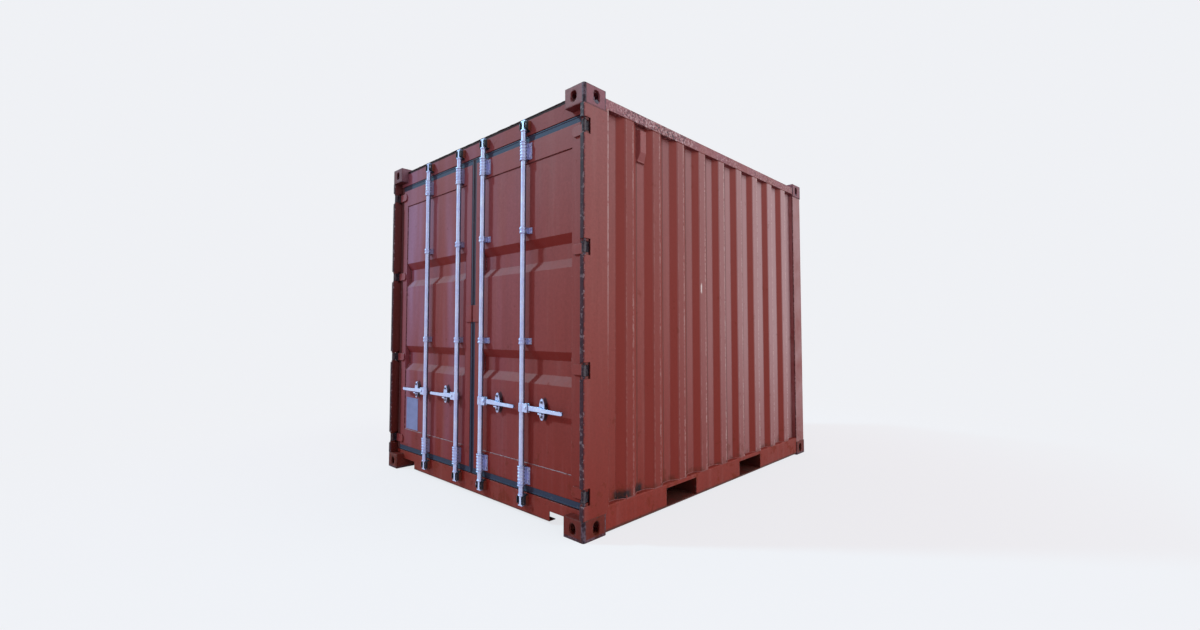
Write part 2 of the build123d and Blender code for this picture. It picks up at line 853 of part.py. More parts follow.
# Vent hoods high in the second recess of each side wall
def vents():
    """Tapered hoods, hollow, whose front slants back to a small lip under the mouth."""
    seat = right(side_recess + side_deep)
    middle = front(wall_middle - (side_crests - 2) / 2 * side_pitch)
    low = vent_middle - vent_tall / 2
    with BuildPart() as hoods:
        with BuildSketch(side_plane(seat)):
            with Locations((middle, vent_middle)):
                Rectangle(vent_wide, vent_tall)
        extrude(amount=vent_proud, taper=vent_flank)
        with BuildSketch(Plane.XZ.offset(-middle)):
            with BuildLine():
                Polyline((seat + vent_lip, low), (seat + vent_lip, low + vent_lip),
                         (seat + vent_proud, low + vent_mouth), (seat + vent_proud, low), close=True)
            make_face()
        extrude(amount=vent_wide / 2, both=True, mode=Mode.SUBTRACT)
        with BuildSketch(side_plane(seat)):
            with Locations((middle, vent_middle + vent_mouth / 2 - vent_wall)):
                Rectangle(vent_wide - 2 * vent_wall, vent_tall - vent_mouth)
        extrude(amount=vent_proud - vent_wall, taper=vent_flank, mode=Mode.SUBTRACT)
        mirror(about=Plane.YZ)
    return hoods


# Pieces on the container's body
save(corner_castings(top_casting_low, True), "corner_castings_top")
save(corner_castings(0, False), "corner_castings_bottom")
save(roof(), "roof")
save(floor_boards(), "floor")
save(cross_members(), "cross_members")
save(fork_pockets(), "fork_pockets")
save(door_header(), "door_header")
save(door_sill(), "door_sill")
save(end_wall(), "end_wall")
save(end_top_rail(), "end_top_rail")
save(end_bottom_rail(), "end_bottom_rail")
save(cam_keepers(), "cam_keepers")
save(vents(), "vents")
save(hinge_pins(), "hinge_pins")

# Pieces that are the same on both sides
pairs = {
    "door_post": door_post(),
    "end_post": end_post(),
    "side_wall": side_wall(),
    "top_side_rail": top_side_rail(),
    "bottom_side_rail": bottom_side_rail(),
    "door_panel": door_panel(),
    "door_gasket": door_gasket(),
    "hinge_blades": hinge_blades(),
    "rod_brackets": rod_brackets(),
    "handle_catches": handle_catches(),
    "inner_lock_rod": lock_rod(rod_places[0]),
    "outer_lock_rod": lock_rod(rod_places[1]),
    "inner_handle": handle(rod_places[0]),
    "outer_handle": handle(rod_places[1]),
}
for name, piece in pairs.items():
    save(piece, f"right_{name}")
    save(other_side(piece), f"left_{name}")

# The meeting tabs differ from leaf to leaf
save(door_frame(right_tab), "right_door_frame")
save(other_side(door_frame(left_tab)), "left_door_frame")
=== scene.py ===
import bpy, math
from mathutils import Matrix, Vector


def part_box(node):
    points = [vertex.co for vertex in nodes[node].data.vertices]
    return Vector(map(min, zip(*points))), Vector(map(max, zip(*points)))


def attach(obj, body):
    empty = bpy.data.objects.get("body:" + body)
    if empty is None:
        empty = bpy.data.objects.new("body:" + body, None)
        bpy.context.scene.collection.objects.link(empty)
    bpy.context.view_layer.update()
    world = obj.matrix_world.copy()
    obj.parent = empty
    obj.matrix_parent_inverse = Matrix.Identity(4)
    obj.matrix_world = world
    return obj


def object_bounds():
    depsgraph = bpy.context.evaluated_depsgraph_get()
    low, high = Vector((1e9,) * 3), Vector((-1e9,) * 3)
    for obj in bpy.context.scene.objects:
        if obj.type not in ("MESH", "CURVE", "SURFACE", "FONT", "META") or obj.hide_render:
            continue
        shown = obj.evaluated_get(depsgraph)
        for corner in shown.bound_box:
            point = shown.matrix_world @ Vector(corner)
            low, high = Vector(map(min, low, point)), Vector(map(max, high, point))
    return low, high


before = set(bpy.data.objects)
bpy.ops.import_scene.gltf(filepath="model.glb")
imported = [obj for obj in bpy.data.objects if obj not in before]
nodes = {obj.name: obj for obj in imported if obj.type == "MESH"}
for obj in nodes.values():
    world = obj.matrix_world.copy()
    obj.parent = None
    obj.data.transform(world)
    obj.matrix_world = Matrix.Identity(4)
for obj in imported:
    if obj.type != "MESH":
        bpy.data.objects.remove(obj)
cadLow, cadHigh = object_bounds()
print("frame loaded:", len(nodes), "nodes")

sides = {"right": 1, "left": -1}

# where the door gear stands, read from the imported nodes
doorGear = {"leafFace": 0.060, "barStart": 0.033, "catchOut": 0.181, "handleLevel": 0.685}
panelLow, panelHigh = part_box("right_door_panel")
leafFaceY = cadLow.y + doorGear["leafFace"]
panelFaceY = panelLow.y
rodAxes = {}
for side, way in sides.items():
    for kind in ("inner", "outer"):
        barLow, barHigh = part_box(f"{side}_{kind}_handle")
        rodAxes[side, kind] = (barLow.x if way > 0 else barHigh.x) - way * doorGear["barStart"]
rodY = (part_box("right_inner_handle")[0].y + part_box("right_inner_handle")[1].y) / 2
rodPlaces = [rodAxes["right", kind] for kind in ("inner", "outer")]


# camera, fitted to the photograph's corners; pixels are in the 1200 x 630 frame
cameraSetup = {
    "place": (3.2758, -3.4978, 1.1644),
    "yaw": 43.243,             # degrees from +Y towards -X
    "pitch": 2.600,            # degrees upwards
    "focalPixels": 514.04,
    "centrePixel": (606.49, 308.18),
    "imageSize": (1200, 630),
    "filmWidth": 36.0,
}


def addCamera(c):
    data = bpy.data.cameras.new("photoCamera")
    wide, tall = c["imageSize"]
    data.sensor_width = c["filmWidth"]
    data.lens = c["focalPixels"] / wide * data.sensor_width
    data.shift_x = (wide / 2 - c["centrePixel"][0]) / wide
    data.shift_y = (c["centrePixel"][1] - tall / 2) / wide
    data.clip_end = 200.0
    camera = bpy.data.objects.new("photoCamera", data)
    bpy.context.scene.collection.objects.link(camera)
    camera.location = c["place"]
    camera.rotation_euler = (math.radians(90 + c["pitch"]), 0, math.radians(c["yaw"]))
    bpy.context.scene.camera = camera


addCamera(cameraSetup)


# shader wiring: a Wire is an output socket that can be used in sums
class Wire:
    def __init__(self, tree, socket):
        self.tree, self.socket = tree, socket

    def maths(self, operation, first, second=None):
        node = self.tree.nodes.new("ShaderNodeMath")
        node.operation = operation
        plug(self.tree, node.inputs[0], first)
        if second is not None:
            plug(self.tree, node.inputs[1], second)
        return Wire(self.tree, node.outputs[0])

    def __add__(self, other): return self.maths("ADD", self, other)
    def __radd__(self, other): return self.maths("ADD", other, self)
    def __sub__(self, other): return self.maths("SUBTRACT", self, other)
    def __rsub__(self, other): return self.maths("SUBTRACT", other, self)
    def __mul__(self, other): return self.maths("MULTIPLY", self, other)
    def __rmul__(self, other): return self.maths("MULTIPLY", other, self)
    def __truediv__(self, other): return self.maths("DIVIDE", self, other)
    def __abs__(self): return self.maths("ABSOLUTE", self)

    def between(self, low, high):          # 0 at low, 1 at high, smooth in between
        node = self.tree.nodes.new("ShaderNodeMapRange")
        node.interpolation_type = "SMOOTHSTEP"
        plug(self.tree, node.inputs[0], self)
        node.inputs[1].default_value, node.inputs[2].default_value = low, high
        return Wire(self.tree, node.outputs[0])

    def near(self, value, reach):          # 1 at value, fading to 0 at reach from it
        return 1 - abs(self - value).between(reach * 0.4, reach)

    def larger(self, other):
        return self.maths("MAXIMUM", self, other)

    def fromNearest(self, pitch):          # signed distance from the nearest of a row of places
        turns = self / pitch + 20.5        # half a turn on, and never negative
        return (self.maths("FRACT", turns) - 0.5) * pitch


def plug(tree, slot, value):
    if isinstance(value, Wire):
        tree.links.new(value.socket, slot)
    else:
        slot.default_value = value


finishes = {}                              # every closed finish, by its name


class Finish:
    def __init__(self, name):
        self.name = name
        self.material = bpy.data.materials.new(name)
        self.material.use_nodes = True
        self.tree = self.material.node_tree
        self.tree.nodes.clear()
        self.place = self.add("ShaderNodeTexCoord", out="Object")

    def add(self, kind, settings=(), out=0, **values):
        node = self.tree.nodes.new(kind)
        for key, value in dict(settings).items():
            setattr(node, key, value)
        for key, value in values.items():
            plug(self.tree, node.inputs[key.replace("_", " ")], value)
        return Wire(self.tree, node.outputs[out])

    def axis(self, letter):
        return self.add("ShaderNodeSeparateXYZ", out=letter, Vector=self.place)

    def facing(self, letter):              # how far a face points along one axis of its piece
        normal = self.add("ShaderNodeTexCoord", out="Normal")
        return self.add("ShaderNodeSeparateXYZ", out=letter, Vector=normal)

    def stretched(self, x, y, z):
        return self.add("ShaderNodeMapping", Vector=self.place, Scale=(x, y, z))

    def noise(self, scale, detail=4.0, rough=0.55, where=None):
        return self.add("ShaderNodeTexNoise", Vector=where or self.place, Scale=scale, Detail=detail,
                        Roughness=rough)

    def streaks(self, across, along, detail=4.0):      # runs down the faces
        return self.noise(1.0, detail, 0.6, self.stretched(across, across, along))

    def mix(self, amount, first, second):
        node = self.tree.nodes.new("ShaderNodeMix")
        node.data_type = "RGBA"
        plug(self.tree, node.inputs["Factor"], amount)
        plug(self.tree, node.inputs[6], first if isinstance(first, Wire) else first + (1,))
        plug(self.tree, node.inputs[7], second if isinstance(second, Wire) else second + (1,))
        return Wire(self.tree, node.outputs[2])

    def ramp(self, amount, stops):
        node = self.tree.nodes.new("ShaderNodeValToRGB")
        places = node.color_ramp.elements
        for place, colour in stops[1:-1]:
            places.new(place).color = colour + (1,)
        places[0].position, places[0].color = stops[0][0], stops[0][1] + (1,)
        places[-1].position, places[-1].color = stops[-1][0], stops[-1][1] + (1,)
        plug(self.tree, node.inputs[0], amount)
        return Wire(self.tree, node.outputs[0])

    def scaled(self, colour, factor):      # colour is a wire or a plain triple
        node = self.tree.nodes.new("ShaderNodeVectorMath")
        node.operation = "SCALE"
        plug(self.tree, node.inputs[0], colour)
        plug(self.tree, node.inputs["Scale"], factor)
        return Wire(self.tree, node.outputs[0])

    def softened(self, radius):            # the normal, rounded at the corners of a piece
        return self.add("ShaderNodeBevel", {"samples": 4}, Radius=radius)

    def edges(self, radius):               # 1 along the corners of a piece, and its softened normal
        soft = self.softened(radius)
        plain = self.add("ShaderNodeNewGeometry", out="Normal")
        node = self.tree.nodes.new("ShaderNodeVectorMath")
        node.operation = "DOT_PRODUCT"
        plug(self.tree, node.inputs[0], soft)
        plug(self.tree, node.inputs[1], plain)
        return (1 - Wire(self.tree, node.outputs["Value"])).between(0.01, 0.14), soft

    def bump(self, height, distance, under=None):
        node = self.tree.nodes.new("ShaderNodeBump")
        node.inputs["Distance"].default_value = distance
        plug(self.tree, node.inputs["Height"], height)
        if under is not None:
            plug(self.tree, node.inputs["Normal"], under)
        return Wire(self.tree, node.outputs[0])

    def close(self, **values):
        shader = self.add("ShaderNodeBsdfPrincipled", **values)
        output = self.tree.nodes.new("ShaderNodeOutputMaterial")
        self.tree.links.new(shader.socket, output.inputs["Surface"])
        finishes[self.name] = self.material


# red paint, weathered, with painted light and shade; one look for each group of pieces
paintLook = {
    "heightStops": ((0.0, (0.185, 0.022, 0.015)), (0.17, (0.208, 0.035, 0.029)),
                    (0.52, (0.235, 0.059, 0.056)), (0.97, (0.250, 0.088, 0.094))),
    "overallTop": 2.6,
    "grime": (0.060, 0.024, 0.020),
    "chalk": (0.360, 0.210, 0.215),
    "rust": (0.120, 0.034, 0.014),
    "bareEdge": (0.400, 0.300, 0.290),
    "gloss": 0.14,
    "level": 1.0, "chalkShare": 0.14, "grimeShare": 0.18, "mottle": 0.10, "rustShare": 0.25,
    "edgeShare": 0.55, "edgeWide": 0.005, "dent": 0.0035, "roughness": 0.44,
    "underShare": 0.60, "underTone": (0.120, 0.010, 0.008),
    "veil": (0.300, 0.165, 0.265), "veilShare": 0.0, "veilFrom": -1.35, "veilEnd": 1.0,
    "veilRise": (0.2, 1.9), "rustFoot": (0.10, 0.55), "leftGrime": 0.0,
}


def paintTone(f, look):
    cloud = f.noise(0.9, 3.0)
    blotch = f.noise(5.0, 5.0, 0.6)
    speck = f.noise(55.0, 5.0, 0.7)
    # darker low and paler high, broken by cloud and blotch noise: a painted light gradient
    height = f.axis("Z") / look["overallTop"] + (cloud - 0.5) * 0.22 + (blotch - 0.5) * 0.10
    colour = f.ramp(height, look["heightStops"])
    if look["veilShare"]:                  # a bluish painted sheen in broad runs, heavier to the left and higher up
        runs = f.streaks(3.5, 0.35, 2.0).between(0.36, 0.64)
        leftward = 1 - f.axis("X").between(look["veilFrom"], look["veilEnd"])
        veil = leftward * (runs * 1.6 + 0.12) * look["veilShare"]
        veil = veil * (f.axis("Z").between(*look["veilRise"]) * 0.60 + 0.45)
        colour = f.mix(veil, colour, look["veil"])
    chalkRuns = f.streaks(13.0, 0.9).between(0.48, 0.80)
    colour = f.mix(chalkRuns * look["chalkShare"], colour, look["chalk"])
    grimeRuns = f.streaks(9.0, 0.6, 5.0).between(0.50, 0.82)
    colour = f.mix(grimeRuns * look["grimeShare"], colour, look["grime"])
    level = (1 - look["mottle"] * 2 + speck * look["mottle"] * 4) * look["level"]
    # faces turned downwards are darkened towards a deep red: painted shade
    under = (0 - f.facing("Z")).between(0.3, 0.8) * look["underShare"]
    return f.mix(under, f.scaled(colour, level), look["underTone"]), blotch, speck


def rustPatches(f, look, colour):
    foot = 1 - f.axis("Z").between(*look["rustFoot"])
    spots = f.noise(9.0, 8.0, 0.72)
    patches = (spots + foot * 0.07).between(0.615, 0.665)
    return f.mix(patches * look["rustShare"], colour, look["rust"]), patches


def redPaint(name, extra=(), **changes):
    look = {**paintLook, **changes}
    f = Finish(name)
    colour, blotch, speck = paintTone(f, look)
    for add in extra:
        colour = add(f, colour, look)
    colour, patches = rustPatches(f, look, colour)
    edge, soft = f.edges(look["edgeWide"])
    chips = edge * f.noise(38.0, 4.0, 0.7).between(0.48, 0.60)
    pale = f.noise(12.0, 2.0).between(0.42, 0.58)
    colour = f.mix(chips * look["edgeShare"], colour, f.mix(pale, look["rust"], look["bareEdge"]))
    waves = f.bump(f.noise(2.6, 1.0), look["dent"], soft)
    grain = f.bump(speck + patches * 0.6, 0.0006, waves)
    rough = look["roughness"] + blotch * 0.16 + patches * 0.25
    f.close(Base_Color=colour, Roughness=rough, Normal=grain, Specular_IOR_Level=look["gloss"])


wallShape = {"crest": 1.211, "recess": 1.175, "sheet": 0.002, "foot": 0.160, "middle": 0.013,
             "pitch": 0.2755, "rimFar": 0.032, "foldFar": 0.104, "growFrom": -1.05, "growTo": 1.2,
             "chalkRise": (0.1, 1.3), "sootRise": 0.05, "slopeShare": 0.80,
             "slopeTone": (0.225, 0.034, 0.027), "flatTone": (0.410, 0.260, 0.285),
             "rimTone": (0.560, 0.420, 0.430), "footTone": (0.085, 0.024, 0.016)}
wallMarks = {"footY": ((-1.145, 0.085), (-0.983, 0.065)), "footZ": (0.168, 0.062),
             "tar": (0.012, 0.010, 0.013), "scratchY": (-0.287, 0.012), "scratchZ": (1.480, 0.045),
             "scratchTone": (0.75, 0.70, 0.72)}


def facesOut(f):                           # 1 on the outer faces of the side walls
    return (f.facing("X") * f.axis("X")).between(0.2, 0.5)


def wallDirt(f, colour, fleck):            # tarry patches at the foot by the door end, and one scratch
    m = wallMarks
    up, along = f.axis("Z"), f.axis("Y")
    outward = facesOut(f)
    ragged = (fleck - 0.5) * 0.05
    tar = (along + ragged).near(*m["footY"][0]) + (along + ragged).near(*m["footY"][1])
    tar = tar * (up + ragged * 0.6).near(*m["footZ"]) * fleck.between(0.36, 0.44)
    colour = f.mix(tar * outward * 0.95, colour, m["tar"])
    scratch = (along + ragged * 0.3).near(*m["scratchY"]) * up.near(*m["scratchZ"])
    return f.mix(scratch * outward * 0.8, colour, m["scratchTone"])


def wallFolds(f, colour, look):            # the slopes are painted a deeper red as painted shade; the flats are paler: chalking, plus painted sheen growing toward the far end and higher up
    out = abs(f.axis("X"))
    s = wallShape
    crest = out.between(s["crest"] - 0.007, s["crest"] - 0.0025)
    recess = 1 - out.between(s["recess"] + 0.0005, s["recess"] + 0.005)
    slope = 1 - crest - recess
    colour = f.mix(slope * s["slopeShare"], colour, s["slopeTone"])
    soot = 1 - f.axis("Z").between(s["foot"], s["foot"] + s["sootRise"])
    soot = soot * f.noise(14.0, 5.0, 0.7).between(0.42, 0.6)
    grown = f.axis("Y").between(s["growFrom"], s["growTo"])
    outward = facesOut(f)
    chalked = grown * (f.axis("Z").between(*s["chalkRise"]) * 0.5 + 0.5) * outward
    colour = f.mix(recess * chalked, colour, s["flatTone"])
    # the near crests are darkened towards the slope tone: painted shade, the other end of the painted sheen
    fresh = crest * (1 - grown)
    colour = f.mix(fresh * 0.4, f.scaled(colour, 1 - fresh * 0.12), s["slopeTone"])
    colour = f.mix(crest * chalked * 0.9, colour, s["flatTone"])
    fleck = f.noise(60.0, 4.0, 0.7)
    fromCrest = (f.axis("Y") - s["middle"]).fromNearest(s["pitch"])
    uneven = fromCrest + (f.noise(30.0, 4.0, 0.7) - 0.5) * 0.018
    rims = uneven.near(s["rimFar"], 0.011) * 0.85 + uneven.near(-s["rimFar"], 0.007) * 0.30
    patchy = f.noise(6.0, 4.0, 0.6).between(0.40, 0.56) * 0.65 + 0.35
    rims = rims * (grown * 0.6 + 0.35) * outward * patchy
    colour = f.mix(crest * rims * fleck.between(0.42, 0.53), colour, s["rimTone"])
    # a dark line along the far fold of each recess: painted shade in the crease
    colour = f.mix(recess * fromCrest.near(s["foldFar"], 0.010) * 0.5, colour, look["grime"])
    colour = f.mix(soot * 0.75, colour, s["footTone"])
    return wallDirt(f, colour, fleck)


grooveLook = {"tone": (0.205, 0.075, 0.078), "share": 0.32}


def grooveDust(f, colour, look):           # upward faces such as the grooves' lower slopes are paler in streaks: dust, and painted light from above
    dust = f.facing("Z").between(0.15, 0.5) * grooveLook["share"] * f.streaks(30.0, 3.0).between(0.3, 0.6)
    return f.mix(dust, colour, grooveLook["tone"])


catchMarks = {"wide": 0.031, "tall": 0.071, "tone": (0.035, 0.020, 0.028)}


def catchDirt(f, colour, look):            # painted shadow: dark rings round the catches on the sheet
    m = catchMarks
    across, up = abs(f.axis("X")), (f.axis("Z") - doorGear["handleLevel"]) / m["tall"]
    outward = (0 - f.facing("Y")).between(0.3, 0.6)
    for x in rodPlaces:
        side = (across - (x + doorGear["catchOut"])) / m["wide"]
        ring = 1 - (side * side + up * up).between(0.8, 1.25)
        colour = f.mix(ring * outward * 0.85, colour, m["tone"])
    return colour


stripLook = {"deep": (0.010, 0.010, 0.020), "slate": (0.048, 0.022, 0.034), "chip": (0.50, 0.44, 0.50),
             "backEdge": -1.297, "backTone": (0.500, 0.360, 0.380), "backRise": (0.7, 1.9),
             "outside": (1.205, 1.215)}
cornerDirt = {"reach": 0.026, "foot": 0.022, "backEdge": 0.176, "pale": (0.120, 0.105, 0.150)}


def darkCorners(f, colour, look):          # the castings' upright edges and feet are worn and black
    c = cornerDirt
    fleck = f.noise(40.0, 5.0, 0.75)
    ragged = (fleck - 0.5) * 0.010
    across, along = abs(f.axis("X")), abs(f.axis("Y")) + ragged
    acrossEdge = (across + ragged).between(cadHigh.x - c["reach"], cadHigh.x - c["reach"] * 0.4)
    alongEdge = along.between(cadHigh.y - c["reach"], cadHigh.y - c["reach"] * 0.4)
    foot = 1 - (f.axis("Z") + ragged).between(c["foot"] * 0.5, c["foot"])
    backEdge = along.near(cadHigh.y - c["backEdge"], 0.009) * fleck.between(0.42, 0.52)
    backEdge = backEdge * across.between(*stripLook["outside"]) * 0.8
    dark = (acrossEdge * alongEdge).larger(foot * 0.7).larger(backEdge) * 0.92
    tone = f.mix(fleck.between(0.44, 0.60), stripLook["deep"], c["pale"])
    # the castings at the left end are darkened
    left = (0 - f.axis("X")).between(0.9, 1.1) * look["leftGrime"]
    return f.mix(dark, f.mix(left, colour, look["grime"]), tone)


castingSeam = {"low": 0.118, "high": 2.473, "reach": 0.005}


def castingSeams(f, colour, look):         # dirt where the castings meet the posts
    c = castingSeam
    up = f.axis("Z")
    line = up.near(c["low"], c["reach"]) + up.near(c["high"], c["reach"])
    return f.mix(line * 0.55, colour, look["grime"])


def postDirt(f, colour, look):             # the narrow front strip is nearly black with dirt
    s = stripLook
    back = f.axis("Y") - cadLow.y
    strip = 1 - back.between(0.0008, 0.003)
    flecks = f.noise(38.0, 6.0, 0.8)
    dirt = f.mix(flecks.between(0.42, 0.54), s["deep"], s["slate"])
    colour = f.mix(strip * 0.92, colour, dirt)
    beside = (1 - back.between(0.004, 0.013)) * flecks.between(0.46, 0.53) * 0.70
    colour = f.mix(beside, colour, dirt)
    corner = (back + (flecks - 0.5) * 0.004).near(0.003, 0.004) * f.noise(45.0, 3.0).between(0.56, 0.62)
    colour = f.mix(corner * 0.4, colour, s["chip"])
    backEdge = f.axis("Y").near(s["backEdge"], 0.008) * flecks.between(0.36, 0.50)
    backEdge = backEdge * f.axis("Z").between(*s["backRise"]) * abs(f.axis("X")).between(*s["outside"])
    return f.mix(backEdge * 0.6, colour, s["backTone"])


headerLine = {"levels": (2.543, 2.550), "tone": (0.012, 0.004, 0.006)}


def headerEdge(f, colour, look):           # a ragged black line under the sealant, on the front only
    top = f.axis("Z") + (f.noise(18.0, 5.0, 0.7) - 0.5) * 0.012
    front = (0 - f.facing("Y")).between(-0.1, 0.3)
    return f.mix(top.between(*headerLine["levels"]) * front * 0.95, colour, headerLine["tone"])


def endBloom(f, colour, look):             # the posts of the closed end are paler in patches like the far wall: partly chalking, partly painted sheen
    return f.mix(f.noise(4.0, 5.0, 0.65).between(0.10, 0.80) * 0.75, colour, wallShape["flatTone"])


def endFolds(f, colour, look):             # the closed end: its slopes are painted deeper red as painted shade, its flats paler higher up, partly chalking and partly painted sheen
    flat = abs(f.facing("Y")).between(0.86, 0.96)
    colour = f.mix((1 - flat) * 0.7, colour, wallShape["slopeTone"])
    return f.mix(flat * f.axis("Z").between(0.1, 2.2) * 0.30, colour, wallShape["flatTone"])


dirtLine = (0.020, 0.032)                  # heights between which the dirt at the foot ends


def lowEdge(f, colour, look):              # dirt along the bottom edges
    low = 1 - (f.axis("Z") + (f.noise(22.0, 4.0) - 0.5) * 0.010).between(*dirtLine)
    return f.mix(low * 0.75, colour, look["grime"])


knuckleLook = {"outside": (1.165, 1.180), "worn": (0.055, 0.060, 0.075), "shine": (0.15, 0.16, 0.19)}


def bladeDirt(f, colour, look):            # the knuckles in the slots are painted black as painted shade, with a pale painted highlight along the pin
    k = knuckleLook
    out = abs(f.axis("X")).between(*k["outside"])
    fleck = f.noise(50.0, 4.0, 0.7).between(0.42, 0.62)
    worn = f.mix(fleck, stripLook["deep"], k["worn"])
    shine = (f.axis("Y") - cadLow.y).near(0.016, 0.008) * 0.4
    return f.mix(out * 0.95, colour, f.mix(shine, worn, k["shine"]))


flakeLook = {"middle": -0.82, "reach": 0.55, "bare": (0.055, 0.045, 0.060), "pale": (0.48, 0.38, 0.42)}


def speckles(f, colour, look):             # flaked paint on the top rails
    k = flakeLook
    fleck = f.noise(64.0, 4.0, 0.75)
    zone = f.axis("Y").near(k["middle"], k["reach"]) * 0.9 + f.noise(2.2, 2.0).between(0.40, 0.60) * 0.5
    colour = f.mix(zone * fleck.between(0.51, 0.57) * 0.95, colour, k["bare"])
    return f.mix(zone * (1 - fleck.between(0.41, 0.47)) * 0.95, colour, k["pale"])


def underDirt(f, colour, look):
    share = f.noise(7.0, 6.0, 0.65).between(0.30, 0.62)
    return f.mix(share * 0.8, colour, look["grime"])


leafLook = {"gloss": 0.09, "level": 1.06, "underShare": 1.4, "underTone": (0.230, 0.024, 0.016)}
redPaint("doorPaint", (grooveDust, catchDirt), veilShare=0.62, **leafLook)
redPaint("leafFramePaint", (grooveDust,), veilShare=0.32, **leafLook)
redPaint("bladePaint", (bladeDirt,), veilShare=0.25, level=1.10)
redPaint("wallPaint", (wallFolds,), edgeShare=0.70, dent=0.005, level=1.03)
redPaint("framePaint", (lowEdge,), mottle=0.16, level=1.12)
redPaint("postPaint", (castingSeams, postDirt), mottle=0.12)
# the left post takes a darker copy of the post paint: painted shade, with more grime streaks
redPaint("leftPostPaint", (castingSeams, postDirt), mottle=0.18, level=0.54, grimeShare=0.7)
redPaint("endWallPaint", (endFolds,), edgeShare=0.85, dent=0.005)
redPaint("endPostPaint", (castingSeams, endBloom), mottle=0.16)
redPaint("railPaint", (speckles,), mottle=0.16, edgeShare=0.85, chalkShare=0.60, level=1.12,
         veilShare=0.35, veilEnd=3.0)
redPaint("headerPaint", (headerEdge,), mottle=0.12, veilShare=0.45, gloss=0.05)
redPaint("castingPaint", (darkCorners,), mottle=0.22, level=0.66, edgeShare=0.95, edgeWide=0.014,
         grimeShare=0.6, bareEdge=(0.042, 0.034, 0.045))
redPaint("topCastingPaint", (darkCorners,), mottle=0.20, level=0.86, edgeShare=0.95, edgeWide=0.014,
         grimeShare=0.4, veilShare=0.5, veilEnd=3.0, leftGrime=0.45,
         bareEdge=(0.040, 0.045, 0.080), rust=(0.050, 0.030, 0.040))
redPaint("underPaint", (underDirt,), mottle=0.2, level=0.6, rustShare=0.6)
redPaint("roofPaint", (), mottle=0.14, rustShare=0.7, chalkShare=0.4, dent=0.006)
print("paint finishes made")


# bare metals, rubber and plywood
zincLook = {"pale": (0.64, 0.74, 1.00), "dark": (0.50, 0.59, 0.95), "stain": (0.16, 0.13, 0.15),
            "stainShare": 0.14, "metallic": 0.55, "lee": (0.040, 0.065, 0.150), "leeShare": 0.80}
camHollow = {"waist": 0.0088, "half": 0.0235, "middle": 0.0345, "tone": (0.008, 0.008, 0.016)}
keeperLow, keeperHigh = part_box("cam_keepers")
camMiddles = (keeperLow.z + camHollow["middle"], keeperHigh.z - camHollow["middle"])


def rodDistance(f):                        # sideways distance from the nearest rod's axis
    across = abs(f.axis("X"))
    away = abs(across - rodPlaces[0])
    return away.maths("MINIMUM", away, abs(across - rodPlaces[1]))


def camGrease(f, colour):                  # the hollows beside the cams' waists are painted black: painted shade
    up = f.axis("Z")
    c = camHollow
    levels = up.near(camMiddles[0], c["half"] * 1.4) + up.near(camMiddles[1], c["half"] * 1.4)
    sides = rodDistance(f).between(c["waist"] - 0.001, c["waist"] + 0.002)
    return f.mix(levels.between(0.10, 0.30) * sides * 0.95, colour, c["tone"])


def zinc(name, extra=(), **changes):
    look = {**zincLook, **changes}
    f = Finish(name)
    spangle = f.add("ShaderNodeTexVoronoi", out="Color", Vector=f.place, Scale=70.0)
    shade = f.noise(11.0, 5.0, 0.65)
    speck = f.noise(90.0, 3.0)
    colour = f.mix(shade.between(0.30, 0.70), look["dark"], look["pale"])
    flake = f.add("ShaderNodeSeparateColor", out=0, Color=spangle)
    colour = f.scaled(colour, 0.95 + flake * 0.08)
    lee = f.facing("Y").between(-0.30, 0.12) * look["leeShare"]     # faces not turned to the front are painted dark: painted shade
    colour = f.mix(lee, colour, look["lee"])
    soft = f.softened(0.002)
    dirt = f.streaks(60.0, 6.0, 5.0).between(0.56, 0.72)
    colour = f.mix(dirt * look["stainShare"], colour, look["stain"])
    for add in extra:
        colour = add(f, colour)
    grain = f.bump(speck + shade, 0.0004, soft)
    f.close(Base_Color=colour, Roughness=0.32 + shade * 0.20, Metallic=look["metallic"], Normal=grain)


keeperShape = {"lipDepth": 0.020, "blackDepth": 0.040, "gap": 0.0315, "inside": (0.012, 0.012, 0.022),
               "back": (0.160, 0.030, 0.016)}


def keeperPaint(name):                     # pale lips; black inside, painted shade over dark steel; dark red outside
    k = keeperShape
    f = Finish(name)
    shade = f.noise(25.0, 5.0, 0.65)
    outside = rodDistance(f).between(k["gap"], k["gap"] + 0.002)
    back = f.axis("Y") - cadLow.y
    behind = (back + (shade - 0.5) * 0.004).between(k["lipDepth"], k["lipDepth"] + 0.002)
    deep = (back + (shade - 0.5) * 0.010).between(k["blackDepth"] - 0.006, k["blackDepth"])
    body = f.mix(outside * deep, k["inside"], f.scaled(k["back"], 0.7 + shade * 0.6))
    lip = f.mix(shade.between(0.56, 0.68), k["inside"], zincLook["pale"])
    colour = f.mix(behind, lip, body)
    soft = f.softened(0.003)
    f.close(Base_Color=colour, Roughness=0.5 + behind * 0.2, Normal=f.bump(shade, 0.0006, soft))


rubberLook = {"low": (0.024, 0.033, 0.066), "high": (0.042, 0.060, 0.112), "overspray": (0.11, 0.035, 0.030),
              "middle": (0.100, 0.075, 0.080), "scuff": (0.20, 0.17, 0.19), "meeting": (0.020, 0.026),
              "outside": (1.128, 1.134), "rise": (0.4, 2.2)}


